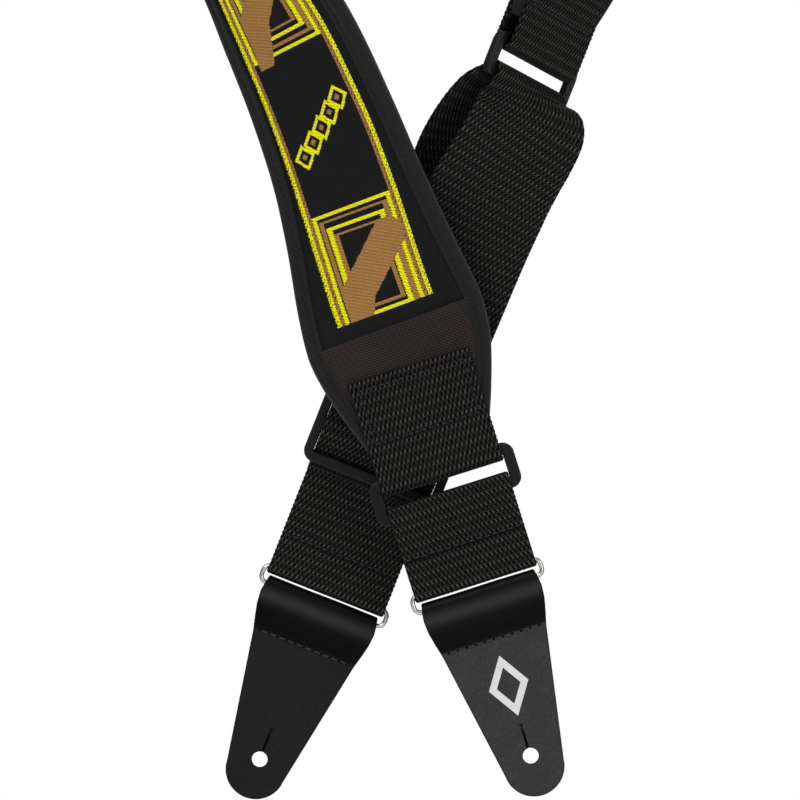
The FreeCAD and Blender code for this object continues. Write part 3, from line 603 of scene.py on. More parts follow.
def jacquard_material():
    """Yarn colours shaded by diagonal twill ribs, with finer picks and warps over them."""
    m = Shader("jacquard_face")
    uv = m.attr("wuv")
    twill = m.wave(m.scaled(uv, angle=28), scale=0.24, direction="Y", distortion=0.6)
    pick = m.wave(uv, scale=0.62, direction="Y", distortion=0.25)
    warp = m.wave(uv, scale=0.72, direction="X", distortion=0.25)
    relief = m.add(m.mul(twill, 0.6), m.mul(pick, 0.4))
    shade = m.span(m.mul(m.add(relief, m.mul(warp, 0.35)), 0.74), low=0.66, high=1.34)
    shade = m.mul(shade, m.span(m.blotches(uv, scale=0.04), low=0.9, high=1.1))
    shade = m.fill(m.new("ShaderNodeCombineColor"), Red=shade, Green=shade, Blue=shade)
    dots = m.ramp(m.noise(uv, scale=2.2, detail=2), (0.0, (0.8, 0.8, 0.8, 1)),
                  (0.55, (0.95, 0.95, 0.95, 1)), (0.70, (1.7, 1.7, 1.8, 1)))
    base = m.mix(1.0, m.attr("yarn", "Color"), shade.outputs[0], "MULTIPLY")
    base = m.mix(1.0, base, dots, "MULTIPLY")
    normal = m.bump(warp, strength=0.3, distance=0.0001)
    return m.finish(Base_Color=base, Roughness=0.66, Sheen_Weight=0.05, Specular_IOR_Level=0.16,
                    Normal=m.bump(relief, strength=0.7, distance=0.00016, under=normal))


def cloth_material(name, dark, light, cell, rough, angle, strength, sheen, specular=0.35):
    """Weave of two crossed waves; cell is its spacing in mm, angle its turn in degrees."""
    waves_per_unit = 3.1831               # bands of a wave node at scale 1
    m = Shader(name)
    uv = m.attr("wuv")
    turned = m.scaled(uv, angle=angle)
    scale = 1.0 / cell / waves_per_unit
    weave = m.mul(m.wave(turned, scale=scale, direction="X", distortion=0.3),
                  m.wave(turned, scale=scale, direction="Y", distortion=0.3))
    fine = m.noise(uv, scale=0.9)
    base = m.ramp(weave, (0.0, dark), (0.9, light))
    base = m.mix(m.span(fine, low=0.0, high=0.3), base, dark)
    base = m.mix(m.span(m.blotches(uv), low=0.0, high=0.25), base, light)
    normal = m.bump(fine, strength=0.2, distance=0.0001)
    return m.finish(Base_Color=base, Roughness=rough, Sheen_Weight=sheen, Sheen_Roughness=0.5,
                    Specular_IOR_Level=specular,
                    Normal=m.bump(weave, strength=strength, distance=0.00014, under=normal))


# leather seam, shared by the material and the mesh
SEAM_DOWN = 22.0                          # from the bend's top
SEAM_PITCH = 3.77
SEAM_HOLES = SEAM_PITCH * np.arange(-5, 6)


def leather_material(name, low, high):
    """Glazed and painted dark as shade above the seam, raw below it; low and high are its sRGB
    greys.
    """
    m = Shader(name)
    uv = m.attr("wuv")                    # x across, y down from the bend's top, in mm
    gloss_and_painted_shade = m.attr("gloss_and_painted_shade", "Fac")
    x, y = m.xy(uv)
    cells = m.new("ShaderNodeTexVoronoi", feature="DISTANCE_TO_EDGE")
    m.fill(cells, Scale=1.5, Vector=m.mix(0.25, uv, m.noise(uv, scale=0.8)))
    grain = m.ramp(cells.outputs["Distance"], (0.0, BLACK), (0.12, WHITE))
    fine = m.noise(uv, scale=5.0, detail=4)
    fibre = m.noise(m.scaled(uv, x=2.4, y=0.55, angle=8), scale=1.0)
    slow = m.noise(uv, scale=0.07)
    crease = m.noise(m.scaled(uv, x=0.05, y=0.5), scale=1.0, detail=4)
    # raw leather with soft upright fibre streaks
    base = m.ramp(slow, (0.25, srgb(low, low - 1, low - 1)),
                  (0.75, srgb(high, high - 2, high - 3)))
    base = m.mix(m.ramp(fibre, (0.35, WHITE), (0.65, BLACK)), base,
                 srgb(low - 5, low - 6, low - 6))
    # glossy part: painted near black as shade, with a painted highlight band half way down it
    offset = m.math("DIVIDE", m.sub(y, 7.4), 2.9)
    band = m.math("POWER", 2.718, m.mul(m.mul(offset, offset), -1.0))
    shade_and_highlight_tone = m.mix(m.mul(band, m.span(fine, low=0.45, high=1.0)), srgb(4, 4, 4),
                   srgb(62, 61, 60))
    base = m.mix(m.mul(gloss_and_painted_shade, 0.96), base, shade_and_highlight_tone)
    base = m.mix(m.mul(m.attr("edge", "Fac"), 0.6), base, srgb(16, 15, 15))
    # needle holes, painted black as the shade inside them
    cell = m.math("FRACT", m.add(m.math("DIVIDE", x, SEAM_PITCH), 0.5))
    dx = m.mul(m.sub(cell, 0.5), SEAM_PITCH)
    dy = m.sub(y, SEAM_DOWN)
    distance = m.math("SQRT", m.add(m.mul(dx, dx), m.mul(dy, dy)))
    on_seam = m.math("LESS_THAN", m.math("ABSOLUTE", x), 20.2)
    base = m.mix(m.mul(m.step(distance, start=0.75, end=0.45), on_seam), base,
                 (0.0006, 0.0006, 0.0006, 1))
    base = m.mix(m.span(grain, low=0.12, high=0.0), base, (0.003, 0.003, 0.003, 1))
    rough = m.add(m.span(slow, low=0.66, high=0.76), m.mul(gloss_and_painted_shade, -0.34))
    height = m.add(m.mul(grain, 0.4), m.add(m.mul(fine, 0.3), m.mul(crease, 0.8)))
    return m.finish(Base_Color=base, Roughness=rough,
                    Specular_IOR_Level=m.span(gloss_and_painted_shade, low=0.16, high=0.10),
                    Normal=m.bump(height, strength=0.28, distance=0.00020))


def cut_edge_shade_material():
    """Cut faces inside the punched hole and the slit, painted dark as the shade inside them."""
    m = Shader("leather_cut_edge_painted_shade")
    base = m.ramp(m.noise(m.obj(), scale=1800.0), (0.3, srgb(5, 5, 5)), (0.7, srgb(15, 14, 14)))
    return m.finish(Base_Color=base, Roughness=0.9, Specular_IOR_Level=0.1)


def hardware_material():
    """Black finish worn grey on its edges."""
    m = Shader("hardware_black")
    where = m.obj()
    fine = m.noise(where, scale=900.0)
    pointed = m.new("ShaderNodeNewGeometry").outputs["Pointiness"]
    wear = m.ramp(pointed, (0.5, BLACK), (0.62, WHITE))
    base = m.ramp(m.noise(where, scale=60.0, detail=2), (0.3, srgb(8, 8, 7)),
                  (0.7, srgb(14, 14, 13)))
    base = m.mix(m.mul(m.mul(wear, 0.5), fine), base, srgb(80, 79, 76))
    return m.finish(Base_Color=base, Roughness=m.span(fine, low=0.36, high=0.52), Metallic=0.0,
                    Specular_IOR_Level=0.3, Coat_Weight=0.05, Coat_Roughness=0.25,
                    Normal=m.bump(fine, strength=0.12, distance=0.0002))


def wire_material():
    """Bright nickel with painted dark edges where it turns away from the eye, in place of dark
    reflections.
    """
    m = Shader("nickel_wire")
    where = m.obj()
    fine = m.noise(where, scale=1400.0)
    facing = m.fill(m.new("ShaderNodeLayerWeight"), Blend=0.5).outputs["Facing"]
    base = m.ramp(m.noise(where, scale=120.0), (0.35, srgb(232, 228, 220)),
                  (0.7, srgb(250, 247, 240)))
    # painted dark reflection towards the rim
    base = m.mix(m.ramp(facing, (0.16, BLACK), (0.42, WHITE)), base, srgb(44, 38, 29))
    return m.finish(Base_Color=base, Roughness=m.span(fine, low=0.14, high=0.30), Metallic=1.0,
                    Normal=m.bump(fine, strength=0.06, distance=0.0001))


def foil_material():
    """Near-white foil with small grey specks."""
    m = Shader("emblem_foil")
    where = m.obj()
    fine = m.noise(where, scale=2200.0, detail=4)
    base = m.ramp(m.noise(where, scale=260.0), (0.3, srgb(240, 240, 238)),
                  (0.7, srgb(254, 254, 252)))
    base = m.mix(m.ramp(fine, (0.66, BLACK), (0.72, WHITE)), base, srgb(150, 150, 150))
    return m.finish(Base_Color=base, Roughness=m.span(fine, low=0.4, high=0.55), Metallic=0.0,
                    Normal=m.bump(fine, strength=0.25, distance=0.0001))


M_WEB = webbing_material()
M_THREAD = thread_material("thread_black", (22, 22, 21))
M_JACQUARD = jacquard_material()
M_BINDING = cloth_material("binding_tape", dark=srgb(15, 14, 13), light=srgb(38, 37, 35),
                           cell=0.8, rough=0.7, angle=45, strength=0.4, sheen=0.12,
                           specular=0.22)
M_CANVAS = cloth_material("canvas_patch", dark=srgb(12, 10, 10), light=srgb(78, 69, 66),
                          cell=1.05, rough=0.75, angle=38, strength=0.9, sheen=0.05,
                          specular=0.12)
M_LINING = cloth_material("pad_lining", dark=srgb(13, 13, 14), light=srgb(30, 30, 31),
                          cell=1.1, rough=0.82, angle=0, strength=0.7, sheen=0.3)
# one leather in two copies: the front end painted lighter as light, the rear end darker as shade
M_LEATHER_FRONT_LIT = leather_material("leather_front_painted_light", low=62, high=80)
M_LEATHER_REAR_SHADED = leather_material("leather_rear_painted_shade", low=33, high=42)
M_CUT_SHADE = cut_edge_shade_material()
M_THREAD_LEATHER = thread_material("thread_leather", (62, 60, 57))
M_HARDWARE = hardware_material()
M_WIRE = wire_material()
M_FOIL = foil_material()

# ---------------------------------------------------------------- pad: woven face
GROUND, YELLOW, BROWN = 0, 1, 2
YARNS = np.array([srgb(16, 16, 18), srgb(252, 246, 0), srgb(170, 124, 68)])
PATTERN_START = 23.6                      # plain cloth at each end of the pad
PERIOD, PANEL = 117.4, 50.5               # length of the repeat and of its framed panel
# nested frames: (depth from, to, half width outside, inside, yarn)
FRAMES = [(0.0, 1.4, 16.8, 15.1, YELLOW), (2.6, 3.8, 14.7, 12.8, BROWN),
          (6.0, 7.3, 12.4, 10.3, YELLOW), (8.9, 10.1, 9.9, 8.2, BROWN)]
# bent bar over the frames: (across, along, radius) at its nodes
BAR = [(11.2, 34.6, 6.8), (-7.5, 16.5, 6.6), (-11.5, -2.0, 3.6)]


def jacquard_yarns(across, along):
    """Yarn of each cell; along is measured from the pattern's start."""
    across = across + 1.0                 # the pattern sits 1 mm off centre
    off = np.abs(across)
    yarns = np.zeros(across.shape, int)
    jag = 0.16 * np.sign(np.sin(2 * math.pi * along / 1.0))
    repeat = np.mod(along + 5.9, PERIOD)  # the first panel is cut short
    in_panel = repeat < PANEL
    depth = np.minimum(repeat, PANEL - repeat)
    for near, far, outside, inside, yarn in FRAMES:
        shift = jag if yarn == YELLOW else 0.5 * jag
        end_bar = (depth >= near) & (depth < far) & (off <= outside + shift * 0.3)
        side_bar = (off <= outside + shift) & (off > inside + shift) & (depth >= near)
        yarns[in_panel & (end_bar | side_bar)] = yarn
    # bent, tapering rounded bar
    bar_y = np.where(repeat > PERIOD - 8, repeat - PERIOD, repeat)
    bar = np.zeros(across.shape, bool)
    for (ax, ay, a_radius), (bx, by, b_radius) in zip(BAR[:-1], BAR[1:]):
        dx, dy = bx - ax, by - ay
        t = np.clip(((across - ax) * dx + (bar_y - ay) * dy) / (dx * dx + dy * dy), 0, 1)
        distance = np.hypot(across - ax - t * dx, bar_y - ay - t * dy)
        bar |= distance < a_radius + (b_radius - a_radius) * t
    yarns[bar & (bar_y > -3.4) & (off < 16.9)] = BROWN
    # slanting chain of open lozenges across the plain panel
    for i in range(-2, 3):
        distance = (np.abs(across - 5.6 * i) / 4.6
                    + np.abs(repeat - PANEL - (33.2 + i * 4.3)) / 5.4)
        yarns[~in_panel & (distance < 1.0) & (distance > 0.66)] = YELLOW
        yarns[~in_panel & (distance < 0.28)] = BROWN
    # cords down both sides, cut by slanting gaps
    seam = 18.6 + jag * 0.6
    outer = (off > seam) & (off <= 20.2 + jag * 0.6)
    inner = (off > 16.9) & (off <= seam)
    outer_gap = (np.mod(along - off * 1.6 * np.sign(across), 2.1) < 0.42) & (off > 19.0)
    inner_gap = (np.mod(along - off * 1.9 * np.sign(across), 2.6) < 0.55) & (off > 17.3)
    yarns[inner] = np.where(inner_gap[inner], GROUND, BROWN)
    yarns[outer] = np.where(outer_gap[outer], GROUND, YELLOW)
    return yarns


def build_face():
    step_x, step_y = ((0.42, 0.46))
    x = np.arange(-32.8, 32.81, step_x)
    y = np.arange(14.0, PAD_LEN - 14.0, step_y)
    cols, rows = len(x), len(y)
    cell_x, cell_y = np.meshgrid((x[:-1] + x[1:]) / 2, (y[:-1] + y[1:]) / 2)
    yarns = jacquard_yarns(cell_x, cell_y - PATTERN_START)
    yarns[(cell_y < PATTERN_START) | (cell_y > PAD_LEN - PATTERN_START)] = GROUND
    # coloured floats stand a little proud: each vertex takes the mean of its cells
    floats = np.zeros((rows, cols))
    touching = np.zeros((rows, cols))
    for i in (0, 1):
        for j in (0, 1):
            window = np.s_[i:rows - 1 + i, j:cols - 1 + j]
            floats[window] += (yarns > 0) * 0.16
            touching[window] += 1
    floats /= touching
    xx, yy = np.meshgrid(x, y)
    twill = 0.035 * np.sin(2 * math.pi * (yy + xx * 0.6) / 1.9)
    press = 0.35 * decay(half_at(yy) - 5.8 - np.abs(xx), 1.6)   # pulled down at the binding
    points = pad_point(yy, xx, SURFACE + floats + twill - press)
    colors = YARNS[yarns.ravel()]
    jitter = 1 + 0.10 * (rng.random(len(colors)) - 0.5) + 0.05 * np.sin(cell_y.ravel() * 5.1)
    colors[:, :3] *= jitter[:, None]
    keep = (np.abs(cell_x) < half_at(cell_y) - 4.6).ravel()
    faces = grid_faces(rows, cols)[keep]
    used, packed = np.unique(faces, return_inverse=True)
    obj = mesh("jacquard_face", points.reshape(-1, 3)[used],
               [packed.reshape(faces.shape)[:, ::-1]], [M_JACQUARD],
               attrs={"wuv": cloth_uv(xx, yy)[used]})
    yarn = obj.data.attributes.new("yarn", "FLOAT_COLOR", "CORNER")
    corners = np.repeat(np.clip(colors[keep], 0, 1), 4, axis=0)
    yarn.data.foreach_set("color", corners.astype(np.float32).ravel())
    return obj


hook(build_face(), "root", "jacquard")

# ---------------------------------------------------------------- pad: binding, foam, lining
BINDING_OUT = 0.8                         # binding's edge beyond the pad's half width
STITCH_IN = 4.3                           # its stitches in from that edge
STITCH_PITCH = 3.0
# (distance in from the outer edge, height above the middle layer)
BINDING_TOP = np.array([
    (6.7, 2.1), (6.66, 2.75), (6.5, 3.12), (6.1, 3.30), (5.6, 3.34), (5.1, 3.22), (4.72, 2.98),
    (4.46, 2.72), (4.3, 2.62), (4.14, 2.72), (3.88, 2.98), (3.5, 3.26), (3.0, 3.44),
    (2.5, 3.48), (1.9, 3.38), (1.3, 3.10), (0.8, 2.66), (0.4, 2.05), (0.14, 1.30),
    (0.03, 0.60), (0.0, 0.0)])


def loft(name, section, stations, mat):
    """Capped body through closed sections; section(along) gives across and height."""
    points, uvs = [], []
    for along in stations:
        across, height = section(along)
        points.append(pad_point(along, across, height))
        girth = arc_lengths(np.stack([across, height], 1))
        uvs.append(cloth_uv(girth, np.full(len(across), along)))
    sides = len(across)
    c = np.arange(sides)
    faces = [grid_faces(len(stations), sides, close_cols=True), c[None, ::-1],
             (c + (len(stations) - 1) * sides)[None, :]]
    return mesh(name, np.concatenate(points), faces, [mat], attrs={"wuv": np.concatenate(uvs)})


def binding_section(side):
    inward, height = BINDING_TOP.T

    def section(along):
        pucker = 0.10 * math.cos(2 * math.pi * along / STITCH_PITCH)
        under = height + pucker * bell(inward - STITCH_IN, 1.2)
        top = under + 0.10 * math.sin(along / 5.3 + side) * bell(inward - 2.4, 1.7)
        across = half_at(along) + BINDING_OUT - inward
        return (side * np.concatenate([across, across[::-1][1:]]),
                np.concatenate([top, -under[::-1][1:]]))

    return section


def foam_section(along):
    half = half_at(along) - 3.0
    across = np.linspace(-half, half, 25)
    return np.concatenate([across, across[::-1]]), np.repeat([2.0, -2.0], 25)


def build_lining():
    x = np.arange(-34.2, 34.21, 0.9)
    y = np.arange(-PAST, PAD_LEN + PAST, 0.9)
    xx, yy = np.meshgrid(x, y)
    limit = half_at(yy) - 4.6
    xx = np.clip(xx, -limit, limit)
    press = 0.4 * decay(limit - 1.4 - np.abs(xx), 1.8)
    # the inside of the curve gathers in shallow cross folds
    ripple = np.abs(np.sin(yy / 8.7 + 0.7 * np.sin(xx / 13.0 + yy / 40.0))) ** 3
    points = pad_point(yy, xx, -SURFACE + press - fade(yy, 30, 30, 60) * 0.30 * ripple)
    return mesh("pad_lining_cloth", points.reshape(-1, 3), [grid_faces(len(y), len(x))],
                [M_LINING], attrs={"wuv": cloth_uv(xx, yy)})


def build_lockstitch():
    """Stitch rows along both bindings, on both faces."""
    along = np.arange(-10, PAD_LEN + 10, STITCH_PITCH)
    centres, runs, normals = [], [], []
    for edge in (-1, 1):
        for face in (1, -1):
            def seam_point(shift, height):
                q = along + shift
                across = edge * (half_at(q) + BINDING_OUT - STITCH_IN)
                return pad_point(q, across, face * height)
            start, end = seam_point(-0.9, 2.80), seam_point(0.9, 2.80)
            centres.append((start + end) / 2)
            runs.append(end - start)
            normals.append(seam_point(0, 3.80) - seam_point(0, 2.80))
    return stitches("binding_lockstitch", np.concatenate(centres), np.concatenate(runs),
                    np.concatenate(normals), 2.1, 0.24, M_THREAD)


binding_stations = np.arange(-PAST, PAD_LEN + PAST + 0.01, 0.75)
hook(loft("binding_left", binding_section(-1), binding_stations, M_BINDING),
     "root", "binding_tape", "pad_edge_binding")
binding_right = loft("binding_right", binding_section(1), binding_stations, M_BINDING)
binding_right.data.flip_normals()
hook(binding_right, "root", "binding_tape")
hook(loft("pad_foam", foam_section, np.arange(-PAST, PAD_LEN + PAST + 0.01, 3.0), M_LINING),
     "root", "neoprene", "pad_core", "pad_face_fabric")
hook(build_lining(), "root", "lining", "pad_back_lining")
hook(build_lockstitch(), "root", "thread", "binding_stitching")


# ---------------------------------------------------------------- canvas patches
def build_patch(name, start, end, hem_at_end):
    """Canvas over the pad's end; its hemmed edge faces the middle of the pad."""
    xx, yy = np.meshgrid(np.linspace(-1, 1, 80), np.arange(start, end + 0.01, 0.7))
    xx = xx * (half_at(yy) - 4.8)
    inward = (end - yy) if hem_at_end else (yy - start)      # distance in from the hem
    hem = 0.42 * np.exp(-((inward - 2.6) / 2.6) ** 4) - 0.16 * bell(inward - 6.2, 0.8)
    roll = -0.55 * (1 - np.clip(inward / 0.5, 0, 1)) ** 2
    press = 0.25 * decay(half_at(yy) - 5.8 - np.abs(xx), 1.6)
    ripple = 0.05 * np.sin(xx / 4.0 + yy / 9.0)
    points = pad_point(yy, xx, SURFACE + 0.42 + hem + roll - press + ripple)
    rows, cols = yy.shape
    edge = rows - 1 if hem_at_end else 0
    under = pad_point(yy[edge], xx[edge], SURFACE - 0.1)
    c = np.arange(cols - 1)
    top, low = edge * cols + c, rows * cols + c
    lip = np.stack([top, top + 1, low + 1, low], 1)
    faces = [grid_faces(rows, cols)[:, ::-1], lip[:, ::-1] if hem_at_end else lip]
    uvs = np.concatenate([cloth_uv(xx, yy), cloth_uv(xx[edge], yy[edge] + 0.6)])
    return mesh(name, np.concatenate([points.reshape(-1, 3), under]), faces, [M_CANVAS],
                attrs={"wuv": uvs})


hook(build_patch("front_canvas_patch", -PAST, 18.0, True), "root", "canvas", "front_end_patch")
hook(build_patch("rear_canvas_patch", PAD_LEN - 18.0, PAD_LEN + PAST, False),
     "root", "canvas", "rear_end_patch")


# ---------------------------------------------------------------- straight strap pieces
class StrapFrame:
    """x across, y away from the show side, z up the strap, in mm."""

    def __init__(self, origin, up, show):
        self.origin = origin
        self.x, self.y, self.z = axes(up, show)

    def __call__(self, x, y, z):
        x, y, z = np.broadcast_arrays(*(np.asarray(a, float) for a in (x, y, z)))
        return self.origin + x[..., None] * self.x + y[..., None] * self.y + z[..., None] * self.z

    def lay(self, line):
        """Points of a (y, z) line, and their across directions."""
        return self(0, line[:, 0], line[:, 1]), np.repeat(self.x[None], len(line), 0)


AT_FRONT_TAB = StrapFrame(FRONT_TAB, FRONT_UP, SHOW)
AT_REAR_TAB = StrapFrame(REAR_TAB, REAR_UP, RING_SHOW)
AT_LINK = StrapFrame(FRONT_TAB - FRONT_UP * LINK_DROP, FRONT_UP, SHOW)
AT_FRONT_LEATHER = StrapFrame(FRONT_TAB - FRONT_UP * (LINK_WIRE + LEATHER_DROP), FRONT_UP, SHOW)
AT_SLIDER = StrapFrame(SLIDER, REAR_UP, SHOW)
AT_TAIL = StrapFrame(TAIL, REAR_UP, SHOW)
AT_REAR_LEATHER = StrapFrame(TAIL - REAR_UP * (TAIL_WIRE + LEATHER_DROP), REAR_UP, SHOW)


def arc(y, z, radius, start, end, count=24):
    a = np.radians(np.linspace(start, end, count))
    return np.stack([y + radius * np.cos(a), z + radius * np.sin(a)], 1)


def trace(*items, step=1.0):
    """(y, z) line through points and arcs, with straight runs between them."""
    line = np.reshape(items[0], (-1, 2))
    for item in items[1:]:
        item = np.reshape(item, (-1, 2))
        count = max(2, int(np.linalg.norm(item[0] - line[-1]) / step) + 1)
        line = np.concatenate([line, np.linspace(line[-1], item[0], count)[1:], item[1:]])
    return line


def belt_tangent(radius, centre_z, y, z, upper):
    """Angle on the circle's +y side whose tangent runs to (y, z)."""
    dz = z - centre_z
    base = math.degrees(math.atan2(dz, y))
    swing = math.degrees(math.acos(radius / math.hypot(y, dz)))
    return base + swing if upper else base - swing


def length_at(line, y, z):
    return arc_lengths(line)[np.argmin(np.hypot(line[:, 0] - y, line[:, 1] - z))]


def row_press(across, along, rows):
    """Stitch rows pull the webbing in."""
    return 0.36 * np.max([bell(along - row, 0.8) for row in rows], 0) * (np.abs(across) < 24.2)


def seam(name, place, x, z, depths, length, radius, mat):
    """Rows of stitches across a strap, one on the face at each y in depths."""
    centres = np.concatenate([place(x, y, z) for y in depths])
    normals = np.repeat([np.sign(y) * place.y for y in depths], len(x), 0)
    return stitches(name, centres, np.repeat(place.x[None], len(centres), 0), normals,
                    length, radius, mat)


def web_seam(name, place, z):
    """Slightly wandering seam through two layers of webbing."""
    z = z + 0.12 * np.sin(np.arange(15) * 2.3)
    return seam(name, place, np.linspace(-22.8, 22.8, 15), z, (-WEB_T - 0.05, WEB_T + 0.05),
                length=2.5, radius=0.38, mat=M_THREAD)


# tabs: down the front, round the ring's bar, up the back
TAB_DROP = 42.5
BOX_ROWS, BOX_SIDE = (4.0, 26.0), 21.6    # box stitch: depths of its rows, half width
tab_line = trace((-BAR_FOLD, 0), arc(0, -TAB_DROP, BAR_FOLD, 180, 360), (BAR_FOLD, 0))


def box_press(across, along):
    """The box stitch pulls the webbing in along its lines."""
    total = 2 * TAB_DROP + math.pi * BAR_FOLD
    down = np.minimum(along, total - along)
    top, bottom = BOX_ROWS
    rows = np.maximum(bell(down - top, 0.75), bell(down - bottom, 0.75)) * (np.abs(across) < 22.4)
    sides = bell(np.abs(across) - BOX_SIDE, 0.75) * (down > top) * (down < bottom)
    return 0.34 * np.maximum(rows, sides) + 0.25 * bell(down, 0.6)


def box_stitches(name, place):
    lines = []
    for face in (-1, 1):
        y = face * (BAR_FOLD + 0.62)
        for depth in BOX_ROWS:
            lines += [(place(x, y, -depth), place.x, place.y * face)
                      for x in np.linspace(-20.6, 20.6, 16)]
        for x in (-BOX_SIDE, BOX_SIDE):
            lines += [(place(x, y, z), place.z, place.y * face)
                      for z in np.linspace(-6.0, -24.0, 8)]
    return stitches(name, *zip(*lines), 2.2, 0.36, M_THREAD)


for end, place in (("front", AT_FRONT_TAB), ("rear", AT_REAR_TAB)):
    name = end + "_tab_strap"
    hook(webbing(name, *place.lay(tab_line), 25.15, press=box_press),
         "root", "webbing", end + "_tab_webbing")
    hook(box_stitches(name + "_boxstitch", place), "root", "thread", end + "_tab_stitching")

LAYER_Y = WEB_T / 2 + 0.03                # middle of each of two layers sewn together


def build_link():
    """Closed band round the front ring's bar and the wire, sewn between them."""
    y = LAYER_Y
    wire_z = -(LINK_WIRE - LINK_DROP)
    seam_z = BAR_R + WEB_T - 22.0
    top = belt_tangent(BAR_FOLD, 0.0, y, seam_z + 2, True)
    low = belt_tangent(WIRE_FOLD, wire_z, y, seam_z - 2, False)
    line = trace((-y, seam_z), (-y, seam_z + 2), arc(0, 0, BAR_FOLD, 180 - top, top, 30),
                 (y, seam_z + 2), (y, seam_z - 2),
                 arc(0, wire_z, WIRE_FOLD, low, -180 - low, 30),
                 (-y, seam_z - 2), (-y, seam_z - 0.5))
    rows = [0.0, arc_lengths(line)[-1], length_at(line, y, seam_z)]
    hook(webbing("front_link_strap", *AT_LINK.lay(line), 25.15, closed=True,
                 press=lambda across, along: row_press(across, along, rows)),
         "front_link", "webbing", "front_link_webbing")
    hook(web_seam("front_link_rowstitch", AT_LINK, seam_z),
         "front_link", "thread", "front_link_stitching")


SLIDER_EXIT = -18.3                       # below the slider's lower bar
TRAVEL = 60.0                             # length hidden above it


def build_tail():
    """From behind the slider's lower bar, round the wire and stitched back on itself."""
    y = LAYER_Y
    seam_z = -(TAIL_FOLD - 17.0)
    low = belt_tangent(WIRE_FOLD, -TAIL_WIRE, y, seam_z - 2, False)
    line = trace((-WEB_T / 2, SLIDER_EXIT + TRAVEL), (-WEB_T / 2, SLIDER_EXIT),
                 (-y, seam_z + 2), (-y, seam_z - 2),
                 arc(0, -TAIL_WIRE, WIRE_FOLD, -180 - low, low, 30),
                 (y, seam_z - 2), (y, seam_z + 10.0))
    rows = [length_at(line, -y, seam_z), length_at(line, y, seam_z)]

    def press(across, along):
        # the part inside the slider and the front run is a little thinner
        return row_press(across, along, rows) + 0.16 * ease((TRAVEL - along) / 1.5)

    hook(webbing("tail_strap", *AT_TAIL.lay(line), 25.1, press=press),
         "tail", "webbing", "tail_webbing")
    hook(web_seam("tail_rowstitch", AT_TAIL, seam_z), "tail", "thread", "tail_stitching")


build_link()
build_tail()

# ---------------------------------------------------------------- adjuster
# From its end sewn behind the slider, up the back run, over the rear ring's bar, down the
# front run and through the slider. Runs are measured down from the ring's bar.
BAR_DROP = 7.0                            # ring centre to its bar
RUN_LEN = RING_REACH - BAR_DROP
FRONT_Y, BACK_Y = 3.4, 6.8                # depths of the runs at the slider
MIDDLE_R, ANCHOR_R = 5.45, 3.75           # bends of front run and anchored end at mid slider
STUB_Y = FRONT_Y + 1.75                   # depth of the anchored end
BAR_GAP = 13.75                           # slider's middle to its bars
RING_FOLD = 3.9

# (distance down, degrees of turn from the show side)
RUN_TURN = [(0, math.degrees(RING_TURN)), (5, 52), (18, 45), (27, 37), (46, 20), (63, 9),
            (80, 2), (92, 0), (200, 0)]
RUN_TURN_FRONT = [(0, math.degrees(RING_TURN)), (3, 40), (7, 28), (12, 24), (22, 23), (32, 21),
                  (46, 16), (63, 8), (80, 2), (92, 0), (200, 0)]
# (distance down, offset towards the run's face)
OFFSET_FRONT = [(0, 3.9), (8, 6.2), (18, 8.8), (28, 10.0), (46, 9.0), (63, 6.2), (80, 3.0),
                (110, -2.4), (RUN_LEN - BAR_GAP, -FRONT_Y)]
OFFSET_BACK = [(0, -3.9), (8, -6.5), (24, -10.5), (42, -12.3), (60, -12.0), (95, -10.0),
               (RUN_LEN - BAR_GAP, -BACK_Y - 0.1)]
# (distance down, sideways bow towards +x)
BOW_FRONT = [(0, 0), (3, 1.8), (7, 3.7), (12, 4.2), (20, 3.2), (32, 1.5), (46, 0.5),
             (63, 0.4), (80, 0.4), (105, 0), (130, 0), (200, 0)]
BOW_BACK = [(0, 0), (3, -2.4), (8, -4.3), (15, -4.8), (24, -4.8), (38, -4.2), (50, -3.6),
            (65, -3.0), (80, -2.0), (105, 0), (200, 0)]


def run_frames(down, turn_table):
    """Centre, across and outward directions at distances down the run."""
    turn = np.radians(monotone(turn_table, down))[:, None]
    normals = np.sin(turn) * REAR_OUT + np.cos(turn) * SHOW
    centres = RING - REAR_UP * BAR_DROP - REAR_UP * down[:, None]
    return centres, np.cross(-normals, REAR_UP), normals


def run_line(down, turn_table, offsets, bow):
    centres, across, normals = run_frames(down, turn_table)
    return (centres + normals * monotone(offsets, down)[:, None]
            + REAR_OUT * monotone(bow, down)[:, None]), across


def adjuster_path():
    bend = math.degrees(math.asin((STUB_Y + ANCHOR_R) / BAR_GAP))
    anchored = trace((STUB_Y, 26.0), arc(0, BAR_GAP, STUB_Y, 0, -bend, 8),
                     arc(0, 0, ANCHOR_R, 180 - bend, 360, 28),
                     (4.6, 5.0), (BACK_Y + 0.1, BAR_GAP))
    up = np.concatenate([np.arange(RUN_LEN - 20, 1, -1.0), [0.5]])
    down = np.concatenate([[0.5], np.arange(1, RUN_LEN - 15, 1.0)])
    a = np.radians(np.linspace(180, 0, 24))[:, None]
    centres, ring_across, normals = run_frames(np.zeros(24), RUN_TURN)
    fold = centres + normals * (RING_FOLD * np.cos(a)) + REAR_UP * (RING_FOLD * np.sin(a))
    bend = math.degrees(math.asin((FRONT_Y + MIDDLE_R) / BAR_GAP))
    through = trace(arc(0, BAR_GAP, FRONT_Y, 0, -bend, 8),
                    arc(0, 0, MIDDLE_R, 180 - bend, 180 + bend, 24),
                    arc(0, -BAR_GAP, FRONT_Y, bend, 0, 8), (FRONT_Y, -18.6))
    parts = [AT_SLIDER.lay(anchored), run_line(up, RUN_TURN, OFFSET_BACK, BOW_BACK),
             (fold, ring_across), run_line(down, RUN_TURN_FRONT, OFFSET_FRONT, BOW_FRONT),
             AT_SLIDER.lay(through)]
    line, across = (np.concatenate(part) for part in zip(*parts))
    line, across, _ = resample(line, across, 0.55)
    return smooth_line(line, across, 6)


